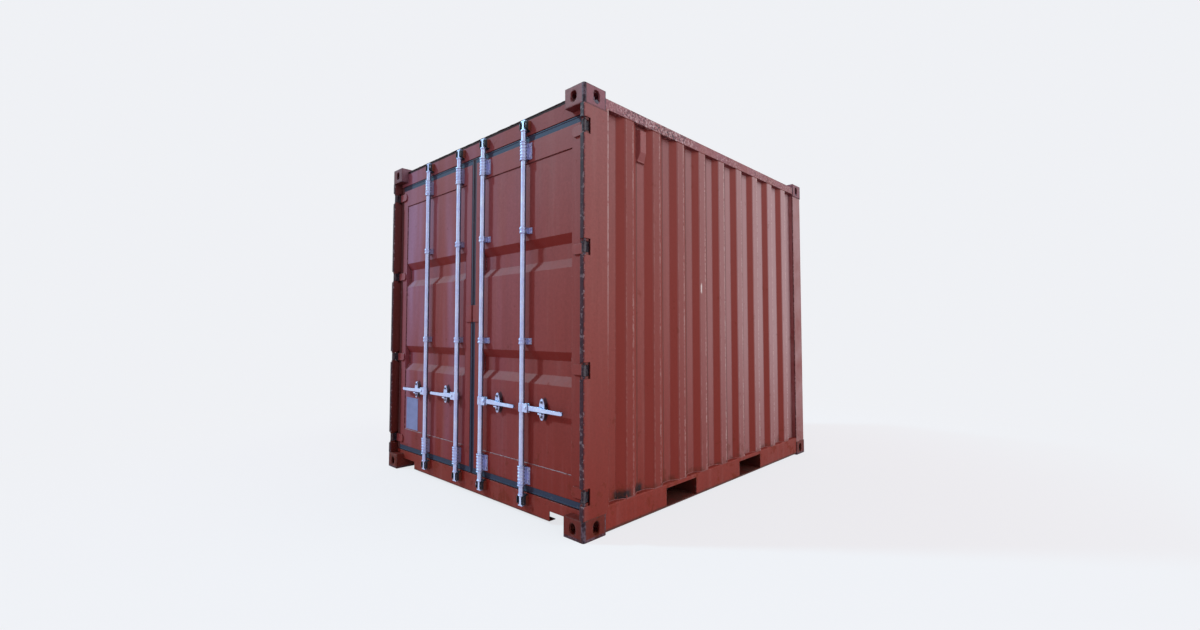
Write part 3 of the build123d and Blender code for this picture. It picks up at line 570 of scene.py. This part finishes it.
def rubber(name):
    r = rubberLook
    f = Finish(name)
    up = f.axis("Z") / paintLook["overallTop"]
    scuff = f.noise(40.0, 6.0, 0.7)
    colour = f.mix((up + (scuff - 0.5) * 0.5).between(0.05, 0.95), r["low"], r["high"])
    middle = 1 - abs(f.axis("X")).between(*r["meeting"])
    colour = f.mix(middle * f.axis("Z").between(*r["rise"]) * 0.55, colour, r["middle"])
    outer = abs(f.axis("X")).between(*r["outside"])
    colour = f.mix(outer * 0.8, colour, r["overspray"])
    soft = f.softened(0.002)
    colour = f.mix(scuff.between(0.60, 0.70) * 0.4, colour, r["scuff"])
    f.close(Base_Color=colour, Roughness=0.62 + scuff * 0.15, Normal=f.bump(scuff, 0.0005, soft),
            Specular_IOR_Level=0.25)


boardLook = {"boardWide": 0.300, "seam": 0.0022, "pale": (0.30, 0.165, 0.080), "deep": (0.145, 0.070, 0.036),
             "scrape": (0.40, 0.28, 0.17), "dirt": (0.050, 0.032, 0.022)}


def plywood(name):
    b = boardLook
    f = Finish(name)
    grain = f.noise(1.0, 6.0, 0.65, f.stretched(70.0, 2.5, 20.0))
    cloud = f.noise(3.0, 4.0)
    colour = f.mix((grain + (cloud - 0.5) * 0.5).between(0.30, 0.70), b["deep"], b["pale"])
    scrape = f.noise(1.0, 5.0, 0.7, f.stretched(40.0, 1.2, 1.0)).between(0.62, 0.72)
    colour = f.mix(scrape * 0.5, colour, b["scrape"])
    seam = 1 - abs(f.axis("X").fromNearest(b["boardWide"])).between(b["seam"], 2 * b["seam"])
    colour = f.mix(seam * 0.9, colour, b["dirt"])
    colour = f.mix(f.noise(6.0, 6.0, 0.7).between(0.55, 0.75) * 0.5, colour, b["dirt"])
    f.close(Base_Color=colour, Roughness=0.55 + cloud * 0.2, Normal=f.bump(grain - seam * 4, 0.0008))


plateLook = {"dark": (0.165, 0.205, 0.42), "pale": (0.21, 0.25, 0.49), "stain": (0.10, 0.08, 0.09)}


def plateMetal(name):
    p = plateLook
    f = Finish(name)
    brushed = f.noise(1.0, 5.0, 0.7, f.stretched(8.0, 8.0, 160.0))
    blotch = f.noise(18.0, 5.0, 0.6)
    colour = f.mix(blotch.between(0.3, 0.7), p["dark"], p["pale"])
    colour = f.mix(f.streaks(45.0, 5.0).between(0.62, 0.75) * 0.35, colour, p["stain"])
    soft = f.softened(0.001)
    f.close(Base_Color=colour, Roughness=0.38 + blotch * 0.2, Metallic=0.2,
            Normal=f.bump(brushed, 0.0002, soft))


weldLook = {"red": (0.230, 0.060, 0.055), "deep": (0.035, 0.016, 0.020), "pale": (0.34, 0.27, 0.31)}


def weldPaint(name, share):                # beads flecked dark and pale, darker underneath and paler on top: painted shade and painted highlight
    w = weldLook
    f = Finish(name)
    fleck = f.noise(46.0, 5.0, 0.75)
    worn = f.mix((f.facing("Z") * 0.20 + fleck).between(0.46, 0.64), w["deep"], w["pale"])
    f.close(Base_Color=f.mix(share, w["red"], worn), Roughness=0.5 + fleck * 0.2,
            Normal=f.bump(fleck, 0.0008), Specular_IOR_Level=0.2)


sealantLook = {"black": (0.010, 0.004, 0.006), "dusty": (0.045, 0.016, 0.019)}


def sealant(name):
    f = Finish(name)
    lump = f.noise(60.0, 5.0, 0.7)
    colour = f.mix(lump.between(0.35, 0.7), sealantLook["black"], sealantLook["dusty"])
    f.close(Base_Color=colour, Roughness=0.8, Normal=f.bump(lump, 0.001), Specular_IOR_Level=0.05)


zinc("zinc")
zinc("rodZinc", (camGrease,))
zinc("strapZinc", pale=(0.56, 0.66, 1.00), dark=(0.44, 0.52, 0.90), leeShare=0.4)
keeperPaint("keeperPaint")
rubber("rubber")
plywood("plywood")
plateMetal("plateMetal")
sealant("sealant")
zinc("darkSteel", pale=(0.16, 0.15, 0.17), dark=(0.06, 0.05, 0.06), stainShare=0.5)
weldPaint("doorWeld", 0.85)
weldPaint("frameWeld", 0.14)
weldPaint("postWeld", 0.70)

finishOfNode = {
    "corner_castings_top": "topCastingPaint", "corner_castings_bottom": "castingPaint",
    "roof": "roofPaint", "floor": "plywood", "cross_members": "underPaint", "fork_pockets": "underPaint",
    "door_header": "headerPaint", "door_sill": "framePaint", "cam_keepers": "keeperPaint",
    "hinge_pins": "castingPaint",
}
finishOfKind = {
    "door_post": "postPaint", "end_post": "endPostPaint", "side_wall": "wallPaint",
    "end_wall": "endWallPaint", "top_side_rail": "railPaint", "bottom_side_rail": "framePaint",
    "end_top_rail": "railPaint", "end_bottom_rail": "framePaint", "vents": "framePaint",
    "door_frame": "leafFramePaint",
    "door_panel": "doorPaint", "hinge_blades": "bladePaint", "door_gasket": "rubber",
    "inner_lock_rod": "rodZinc", "outer_lock_rod": "rodZinc", "rod_brackets": "strapZinc",
}
for name, node in nodes.items():
    side, _, kind = name.partition("_")
    kind = kind if side in sides else name
    finish = finishOfNode.get(name) or finishOfKind.get(kind, "zinc")
    if name == "left_door_post":
        finish = "leftPostPaint"
    node.data.materials.clear()
    node.data.materials.append(finishes[finish])
print("finishes given to the nodes")


# light: a bluish key on the doors, a wide fill on the long side, and an even reddish sky
lightSetup = {
    "keyWay": (0.766, 0.643, -0.75), "keyPower": 2.4, "keyAngle": 5.0, "keyColour": (0.50, 1.05, 1.20),
    "fillWay": (-0.9, -0.35, -0.35), "fillPower": 2.2, "fillAngle": 70.0, "fillColour": (0.75, 1.08, 1.05),
    "skyColour": (1.15, 0.66, 0.66), "skyPower": 0.60,
    "backdrop": (0.866, 0.879, 0.912),
}


def addSun(name, way, power, angle, colour):
    data = bpy.data.lights.new(name, "SUN")
    data.energy = power
    data.angle = math.radians(angle)
    data.color = colour
    lamp = bpy.data.objects.new(name, data)
    bpy.context.scene.collection.objects.link(lamp)
    lamp.rotation_euler = Vector(way).to_track_quat("-Z", "Y").to_euler()


for kind in ("key", "fill"):
    addSun(kind + "Light", lightSetup[kind + "Way"], lightSetup[kind + "Power"], lightSetup[kind + "Angle"],
           lightSetup[kind + "Colour"])


def seenDirectly(tree):                    # 1 for the camera, mirrors and glass
    rays = tree.nodes.new("ShaderNodeLightPath")
    total = Wire(tree, rays.outputs["Is Camera Ray"])
    for kind in ("Is Glossy Ray", "Is Transmission Ray"):
        total = total.larger(Wire(tree, rays.outputs[kind]))
    return total


def blended(tree, amount, first, second):  # two shaders mixed
    node = tree.nodes.new("ShaderNodeMixShader")
    for slot, value in zip(node.inputs, (amount, first, second)):
        plug(tree, slot, value)
    return Wire(tree, node.outputs[0])


def background(tree, colour, power):
    node = tree.nodes.new("ShaderNodeBackground")
    node.inputs[0].default_value = colour + (1,)
    node.inputs[1].default_value = power
    return Wire(tree, node.outputs[0])


def addWorld(c):
    world = bpy.data.worlds.new("paleSky")
    bpy.context.scene.world = world
    world.use_nodes = True
    tree = world.node_tree
    tree.nodes.clear()
    sky = background(tree, c["skyColour"], c["skyPower"])
    seen = background(tree, c["backdrop"], 1.0)
    output = tree.nodes.new("ShaderNodeOutputWorld")
    plug(tree, output.inputs[0], blended(tree, seenDirectly(tree), sky, seen))


addWorld(lightSetup)
bpy.context.scene.view_settings.view_transform = "Standard"
print("camera, light and sky ready")

floorSetup = {"size": 80.0, "low": -0.0005, "shadowShare": 0.15, "lit": (0.86, 0.87, 0.90),
              "bounce": (0.42, 0.22, 0.20), "fadeFrom": 2.2, "fadeTo": 5.5, "underX": 1.15,
              "underFront": -1.15, "underBack": 1.35, "edge": 0.06}


def addFloor(g):
    bpy.ops.mesh.primitive_plane_add(size=g["size"], location=(0, 0, g["low"]))
    plane = bpy.context.object
    plane.name = "floorPlane"
    f = Finish("paleFloor")
    length = f.tree.nodes.new("ShaderNodeVectorMath")
    length.operation = "LENGTH"
    plug(f.tree, length.inputs[0], f.place)
    away = Wire(f.tree, length.outputs["Value"]).between(g["fadeFrom"], g["fadeTo"])
    glow = f.add("ShaderNodeEmission", Color=lightSetup["backdrop"] + (1,))
    shaded = f.add("ShaderNodeBsdfDiffuse", Color=g["lit"] + (1,))
    dull = f.add("ShaderNodeBsdfDiffuse", Color=g["bounce"] + (1,))
    x, y, edge = f.axis("X"), f.axis("Y"), g["edge"]
    under = 1 - abs(x).between(g["underX"], g["underX"] + edge)     # below the base
    under = under * y.between(g["underFront"], g["underFront"] + edge)
    under = under * (1 - y.between(g["underBack"], g["underBack"] + edge))
    share = (1 - away) * g["shadowShare"]
    shown = blended(f.tree, share.larger(under), glow, shaded)
    whole = blended(f.tree, seenDirectly(f.tree), dull, shown)
    output = f.tree.nodes.new("ShaderNodeOutputMaterial")
    f.tree.links.new(whole.socket, output.inputs["Surface"])
    plane.data.materials.append(f.material)


addFloor(floorSetup)


# modelling helpers: everything is shaped at its place, and ends as an object at the origin
def deselectAll():
    bpy.ops.object.select_all(action="DESELECT")


def makeActive(piece):
    deselectAll()
    piece.select_set(True)
    bpy.context.view_layer.objects.active = piece


def applyPlace(piece):
    makeActive(piece)
    bpy.ops.object.transform_apply(location=True, rotation=True, scale=True)


def settle(piece, name, body, finish):
    applyPlace(piece)
    piece.name = name
    piece.data.name = name
    piece.data.materials.clear()
    piece.data.materials.append(finishes[finish])
    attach(piece, body)


def pick(piece, kind, wanted):             # faces by their normal, edges by their way; stays in edit mode
    makeActive(piece)
    bpy.ops.object.mode_set(mode="EDIT")
    bpy.ops.mesh.select_mode(type=kind)
    bpy.ops.mesh.select_all(action="DESELECT")
    bpy.ops.object.mode_set(mode="OBJECT")
    points = piece.data.vertices
    if kind == "FACE":
        for polygon in piece.data.polygons:
            polygon.select = wanted(polygon.normal)
    else:
        for edge in piece.data.edges:
            edge.select = wanted(points[edge.vertices[1]].co - points[edge.vertices[0]].co)
    bpy.ops.object.mode_set(mode="EDIT")


def bevelEdges(piece, wide, segments=2):
    modifier = piece.modifiers.new("roundedEdges", "BEVEL")
    modifier.width = wide
    modifier.segments = segments
    modifier.limit_method = "ANGLE"
    makeActive(piece)
    bpy.ops.object.modifier_apply(modifier=modifier.name)


def joined(pieces):
    deselectAll()
    for piece in pieces:
        piece.select_set(True)
    bpy.context.view_layer.objects.active = pieces[0]
    bpy.ops.object.join()
    return bpy.context.object


def spread(template, places, turn=(0, 0, 0)):
    copies = []
    for place in places:
        copy = template.copy()
        copy.data = template.data.copy()
        copy.location = place
        copy.rotation_euler = turn
        bpy.context.scene.collection.objects.link(copy)
        copies.append(copy)
    bpy.data.objects.remove(template)
    return joined(copies)


def cylinder(corners, radius, tall, place=(0, 0, 0), turn=(0, 0, 0)):
    deselectAll()
    bpy.ops.mesh.primitive_cylinder_add(vertices=corners, radius=radius, depth=tall, location=place,
                                        rotation=turn)
    return bpy.context.object


def block(size, place=(0, 0, 0)):
    deselectAll()
    bpy.ops.mesh.primitive_cube_add(size=1, location=place)
    piece = bpy.context.object
    piece.scale = size
    applyPlace(piece)
    return piece


def hexBolt(radius, tall):
    head = cylinder(6, radius, tall)
    bevelEdges(head, radius * 0.16)
    return head


def domeRivet(radius, tall):               # a low dome: the inset top is lifted a little
    head = cylinder(16, radius, tall)
    pick(head, "FACE", lambda normal: normal.z > 0.9)
    bpy.ops.mesh.inset(thickness=radius * 0.35, depth=tall * 0.35)
    bpy.ops.mesh.inset(thickness=radius * 0.30, depth=tall * 0.15)
    bpy.ops.object.mode_set(mode="OBJECT")
    return head


def barBetween(start, end, radius, corners, extra=0.0):
    start, end = Vector(start), Vector(end)
    way = end - start
    turn = way.to_track_quat("Z", "Y").to_euler()
    return cylinder(corners, radius, way.length + extra, (start + end) / 2, turn)


def weldBead(start, end, radius, ripple, seed):
    bead = barBetween(start, end, radius, 6)
    applyPlace(bead)
    way = Vector(end) - Vector(start)
    along = way.normalized()
    pick(bead, "EDGE", lambda line: abs(line.normalized().dot(along)) > 0.99)
    bpy.ops.mesh.subdivide(number_cuts=max(1, int(way.length / ripple)))
    bpy.ops.mesh.select_all(action="SELECT")
    bpy.ops.transform.vertex_random(offset=radius * 0.35, seed=seed)
    bpy.ops.object.mode_set(mode="OBJECT")
    return bead


def weldLine(points, radius, ripple, closed=False):
    ends = zip(points, points[1:] + points[:1] if closed else points[1:])
    return joined([weldBead(start, end, radius, ripple, seed) for seed, (start, end) in enumerate(ends, 1)])


faceFront = (math.radians(90), 0, 0)       # turns a piece's top towards the viewer at the doors
faceBack = (math.radians(-90), 0, 0)

bracketGear = {"bearingHeights": (0.255, 2.335), "guideHeights": (1.102, 1.815), "boltOut": 0.037,
               "boltSpread": 0.036, "boltRadius": 0.0095, "boltTall": 0.007, "footThick": 0.006,
               "guideSpread": 0.0115, "guideBolt": 0.0075, "ringRadius": 0.0262, "ringTall": 0.008,
               "bearingTall": 0.108, "ringGap": 0.001, "ringCorner": 0.0025, "collarCorner": 0.003,
               "collarRadius": 0.0215, "collarTall": 0.010, "camLevels": (0.137, 2.467),
               "bandRadius": 0.0250, "bandHole": 0.0212, "bandTall": 0.009, "bandSteps": (-2, -1, 0, 1, 2),
               "bandGap": 0.0215, "guideBands": (-0.012, 0.012), "footBandLong": 0.026,
               "footBandThick": 0.0025, "footBandCorner": 0.002}


def addBracketBolts(side, g):
    places = []
    smallPlaces = []
    away = g["footThick"] + g["boltTall"] / 2
    for kind in ("inner", "outer"):
        x = rodAxes[side, kind] + sides[side] * g["boltOut"]
        places += [(x, leafFaceY - away, middle + step * g["boltSpread"])
                   for middle in g["bearingHeights"] for step in (-1, 1)]
        smallPlaces += [(x, panelFaceY - away, middle + step * g["guideSpread"])
                        for middle in g["guideHeights"] for step in (-1, 1)]
    bolts = joined([spread(hexBolt(g["boltRadius"], g["boltTall"]), places, faceFront),
                    spread(hexBolt(g["guideBolt"], g["boltTall"]), smallPlaces, faceFront)])
    settle(bolts, side + "_bracket_bolts", side + "_door", "zinc")


def openRing(outer, hole, tall):           # a collar with a hole right through it
    ring = cylinder(32, outer, tall)
    pick(ring, "FACE", lambda normal: abs(normal.z) > 0.9)
    bpy.ops.mesh.inset(thickness=outer - hole)
    bpy.ops.mesh.bridge_edge_loops()
    bpy.ops.object.mode_set(mode="OBJECT")
    bevelEdges(ring, tall * 0.22)
    return ring


def addStrapBands(side, g):                # pressed ribs round the bearings and the guides
    places = []
    feet = []
    for kind in ("inner", "outer"):
        x = rodAxes[side, kind]
        footX = x + sides[side] * g["boltOut"]
        for middle in g["bearingHeights"]:
            levels = [middle + step * g["bandGap"] for step in g["bandSteps"]]
            places += [(x, rodY, level) for level in levels]
            feet += [(footX, leafFaceY - g["footThick"], level) for level in levels]
        guides = [middle + step for middle in g["guideHeights"] for step in g["guideBands"]]
        places += [(x, rodY, level) for level in guides]
        feet += [(footX, panelFaceY - g["footThick"], level) for level in guides]
    bands = spread(openRing(g["bandRadius"], g["bandHole"], g["bandTall"]), places)
    bar = block((g["footBandLong"], g["footBandThick"] * 2, g["bandTall"]))
    bevelEdges(bar, g["footBandCorner"])
    settle(joined([bands, spread(bar, feet)]), side + "_strap_bands", side + "_door", "zinc")


def roundCollar(radius, tall, corner):
    ring = cylinder(40, radius, tall)
    bevelEdges(ring, corner)
    return ring


def addRodRings(side, kind, g):
    x = rodAxes[side, kind]
    away = g["bearingTall"] / 2 + g["ringTall"] / 2 + g["ringGap"]
    stops = [(x, rodY, middle + step * away) for middle in g["bearingHeights"] for step in (-1, 1)]
    collars = [(x, rodY, level) for level in g["camLevels"]]
    rings = joined([spread(roundCollar(g["ringRadius"], g["ringTall"], g["ringCorner"]), stops),
                    spread(roundCollar(g["collarRadius"], g["collarTall"], g["collarCorner"]), collars)])
    settle(rings, f"{side}_{kind}_rod_rings", f"{side}_{kind}_rod", "zinc")


hubGear = {"pivotOut": 0.048, "half": 0.0135, "rivetRadius": 0.0095, "rivetTall": 0.004, "sunk": 0.0005}


def addHubRivets(side, kind, g):
    x = rodAxes[side, kind] + sides[side] * g["pivotOut"]
    away, level = g["half"] + g["rivetTall"] / 2 - g["sunk"], doorGear["handleLevel"]
    front = spread(domeRivet(g["rivetRadius"], g["rivetTall"]), [(x, rodY - away, level)], faceFront)
    back = spread(domeRivet(g["rivetRadius"], g["rivetTall"]), [(x, rodY + away, level)], faceBack)
    settle(joined([front, back]), f"{side}_{kind}_fork_rivet", f"{side}_{kind}_rod", "zinc")


catchGear = {"boltAway": 0.045, "boltRadius": 0.0085, "boltTall": 0.006, "plateFront": 0.040,
             "washer": 0.0125, "washerTall": 0.0015, "washerCorner": 0.0004}


def addCatchBolts(side, g):
    plateY = cadLow.y + g["plateFront"]
    spots = [(rodAxes[side, kind] + sides[side] * doorGear["catchOut"],
              doorGear["handleLevel"] + step * g["boltAway"])
             for kind in ("inner", "outer") for step in (-1, 1)]
    heads = spread(hexBolt(g["boltRadius"], g["boltTall"]),
                   [(x, plateY - g["washerTall"] - g["boltTall"] / 2, z) for x, z in spots], faceFront)
    settle(heads, side + "_catch_bolts", side + "_door", "darkSteel")
    washers = spread(roundCollar(g["washer"], g["washerTall"], g["washerCorner"]),
                     [(x, plateY - g["washerTall"] / 2, z) for x, z in spots], faceFront)
    settle(washers, side + "_catch_washers", side + "_door", "zinc")


for side in sides:
    addBracketBolts(side, bracketGear)
    addStrapBands(side, bracketGear)
    addCatchBolts(side, catchGear)
    for kind in ("inner", "outer"):
        addRodRings(side, kind, bracketGear)
        addHubRivets(side, kind, hubGear)
print("bolts, rings and rivets added")

plateGear = {"x": (-1.028, -0.826), "z": (0.339, 0.604), "thick": 0.002, "rim": 0.006, "dish": 0.0006,
             "corner": 0.0004, "rivetRadius": 0.0045, "rivetTall": 0.002, "rivetIn": 0.012}


def addPlate(g):
    (x0, x1), (z0, z1) = g["x"], g["z"]
    middle = ((x0 + x1) / 2, panelFaceY - g["thick"] / 2, (z0 + z1) / 2)
    plate = block((x1 - x0, g["thick"], z1 - z0), middle)
    pick(plate, "FACE", lambda normal: normal.y < -0.5)
    bpy.ops.mesh.inset(thickness=g["rim"], depth=-g["dish"])
    bpy.ops.object.mode_set(mode="OBJECT")
    bevelEdges(plate, g["corner"], 1)
    rivetY = panelFaceY - g["thick"] - g["rivetTall"] / 2 + g["dish"]
    places = [(x, rivetY, z) for x in (x0 + g["rivetIn"], x1 - g["rivetIn"])
              for z in (z0 + g["rivetIn"], z1 - g["rivetIn"])]
    rivets = spread(domeRivet(g["rivetRadius"], g["rivetTall"]), places, faceFront)
    settle(joined([plate, rivets]), "bare_plate", "left_door", "plateMetal")


addPlate(plateGear)
print("bare plate added")


# weld beads round the door panels, which follow the grooves at their ends
panelWeld = {"radius": 0.0038, "ripple": 0.014, "grooveTall": 0.205, "grooveSlope": 0.056,
             "grooveDeep": 0.036, "grooveTops": (1.041, 1.754)}


def panelProfile(g):
    line = [(panelFaceY, panelLow.z)]
    for top in g["grooveTops"]:
        low = top - g["grooveTall"]
        line += [(panelFaceY, low), (panelFaceY + g["grooveDeep"], low + g["grooveSlope"]),
                 (panelFaceY + g["grooveDeep"], top - g["grooveSlope"]), (panelFaceY, top)]
    return line + [(panelFaceY, panelHigh.z)]


def addPanelWelds(side, g):
    low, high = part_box(side + "_door_panel")
    line = panelProfile(g)
    welds = [weldLine([(x, y, z) for y, z in line], g["radius"], g["ripple"]) for x in (low.x, high.x)]
    welds += [weldLine([(low.x, panelFaceY, z), (high.x, panelFaceY, z)], g["radius"], g["ripple"])
              for z in (low.z, high.z)]
    settle(joined(welds), side + "_panel_welds", side + "_door", "doorWeld")


for side in sides:
    addPanelWelds(side, panelWeld)
print("door welds added")

# beads that follow a corrugated wall's foot and top
wallWeld = {"radius": 0.0035, "ripple": 0.03, "pitch": wallShape["pitch"], "crestWide": 0.074,
            "slopeWide": 0.062, "crests": 9}
endWeld = {"radius": 0.0045, "ripple": 0.03, "pitch": 0.250, "crestWide": 0.104, "slopeWide": 0.018,
           "crests": 8}


def foldLine(start, end, middle, inner, outer, g):     # (along, across) points of a corrugated sheet
    line = [(start, inner)]
    half = g["crestWide"] / 2
    for index in range(g["crests"]):
        centre = middle + (index - (g["crests"] - 1) / 2) * g["pitch"]
        line += [(centre - half - g["slopeWide"], inner), (centre - half, outer),
                 (centre + half, outer), (centre + half + g["slopeWide"], inner)]
    return line + [(end, inner)]


def addWallWelds(side, g):
    low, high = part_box(side + "_side_wall")
    innerX, outerX = (low.x, high.x) if side == "right" else (high.x, low.x)
    innerX += sides[side] * wallShape["sheet"]
    line = foldLine(low.y, high.y, wallShape["middle"], innerX, outerX, g)
    welds = [weldLine([(x, y, z) for y, x in line], g["radius"], g["ripple"]) for z in (low.z, high.z)]
    settle(joined(welds), side + "_wall_welds", "container", "frameWeld")


def addEndWelds(g):                        # the closed end's, on the sheet's outer side
    low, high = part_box("end_wall")
    line = foldLine(low.x, high.x, 0, low.y + wallShape["sheet"], high.y, g)
    welds = [weldLine([(x, y, z) for x, y in line], g["radius"], g["ripple"]) for z in (low.z, high.z)]
    settle(joined(welds), "end_wall_welds", "container", "frameWeld")


postWeld = {"radius": 0.0045, "ripple": 0.012, "in": 0.0065}


def addPostWelds(side, g):                 # upright beads where the corrugated wall meets the posts
    low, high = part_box(side + "_side_wall")
    x = sides[side] * (cadHigh.x - g["in"])
    welds = [weldBead((x, y, low.z), (x, y, high.z), g["radius"], g["ripple"], index)
             for index, y in enumerate((low.y, high.y))]
    settle(joined(welds), side + "_post_welds", "container", "postWeld")


for side in sides:
    addWallWelds(side, wallWeld)
    addPostWelds(side, postWeld)
addEndWelds(endWeld)
print("wall welds added")

headerBead = {"radius": 0.0065, "ripple": 0.02, "lift": 0.004, "in": 0.004, "endIn": 0.162, "seed": 5}


def addHeaderBead(g):
    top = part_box("door_header")[1].z
    reach, y, z = cadHigh.x - g["endIn"], leafFaceY + g["in"], top + g["lift"]
    bead = weldBead((-reach, y, z), (reach, y, z), g["radius"], g["ripple"], g["seed"])
    settle(bead, "header_seal", "container", "sealant")


addHeaderBead(headerBead)

# the two soft lips of each door seal
lipGear = {"radius": 0.004, "inset": 0.007, "sunk": 0.0005, "corner": 0.001}


def addSealLips(side, g):
    low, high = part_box(side + "_door_gasket")
    y = low.y + g["sunk"]
    x0, x1 = low.x + g["inset"], high.x - g["inset"]
    z0, z1 = low.z + g["inset"], high.z - g["inset"]
    corners = [(x0, y, z0), (x1, y, z0), (x1, y, z1), (x0, y, z1)]
    lips = []
    for start, end in zip(corners, corners[1:] + corners[:1]):
        lip = barBetween(start, end, g["radius"], 14, extra=g["radius"])
        bevelEdges(lip, g["corner"], 1)
        lips.append(lip)
    settle(joined(lips), side + "_seal_lips", side + "_door", "rubber")


for side in sides:
    addSealLips(side, lipGear)
print("seals added")

screwGear = {"radius": 0.006, "tall": 0.0015, "sunk": 0.0004, "boards": 8, "fromBoardMiddle": 0.10,
             "rows": 9, "rowStep": 0.30}


def addFloorScrews(g):
    low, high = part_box("floor")
    first = (low.y + high.y) / 2 - (g["rows"] - 1) / 2 * g["rowStep"]
    top = high.z + g["tall"] / 2 - g["sunk"]
    places = [(boardLook["boardWide"] * (board - (g["boards"] - 1) / 2) + step * g["fromBoardMiddle"],
               first + row * g["rowStep"], top)
              for board in range(g["boards"]) for step in (-1, 1) for row in range(g["rows"])]
    screws = spread(domeRivet(g["radius"], g["tall"]), places)
    settle(screws, "floor_screws", "container", "darkSteel")


addFloorScrews(screwGear)
print("floor screws added")

ventWeld = {"radius": 0.003, "ripple": 0.012, "lift": 0.0005}


def addVentWelds(g):
    low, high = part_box("vents")
    welds = []
    for way in sides.values():
        x = way * (wallShape["recess"] + g["lift"])
        corners = [(x, low.y, low.z), (x, high.y, low.z), (x, high.y, high.z), (x, low.y, high.z)]
        welds.append(weldLine(corners, g["radius"], g["ripple"], closed=True))
    settle(joined(welds), "vent_welds", "container", "frameWeld")


addVentWelds(ventWeld)
print("vent welds added")

bpy.context.view_layer.update()
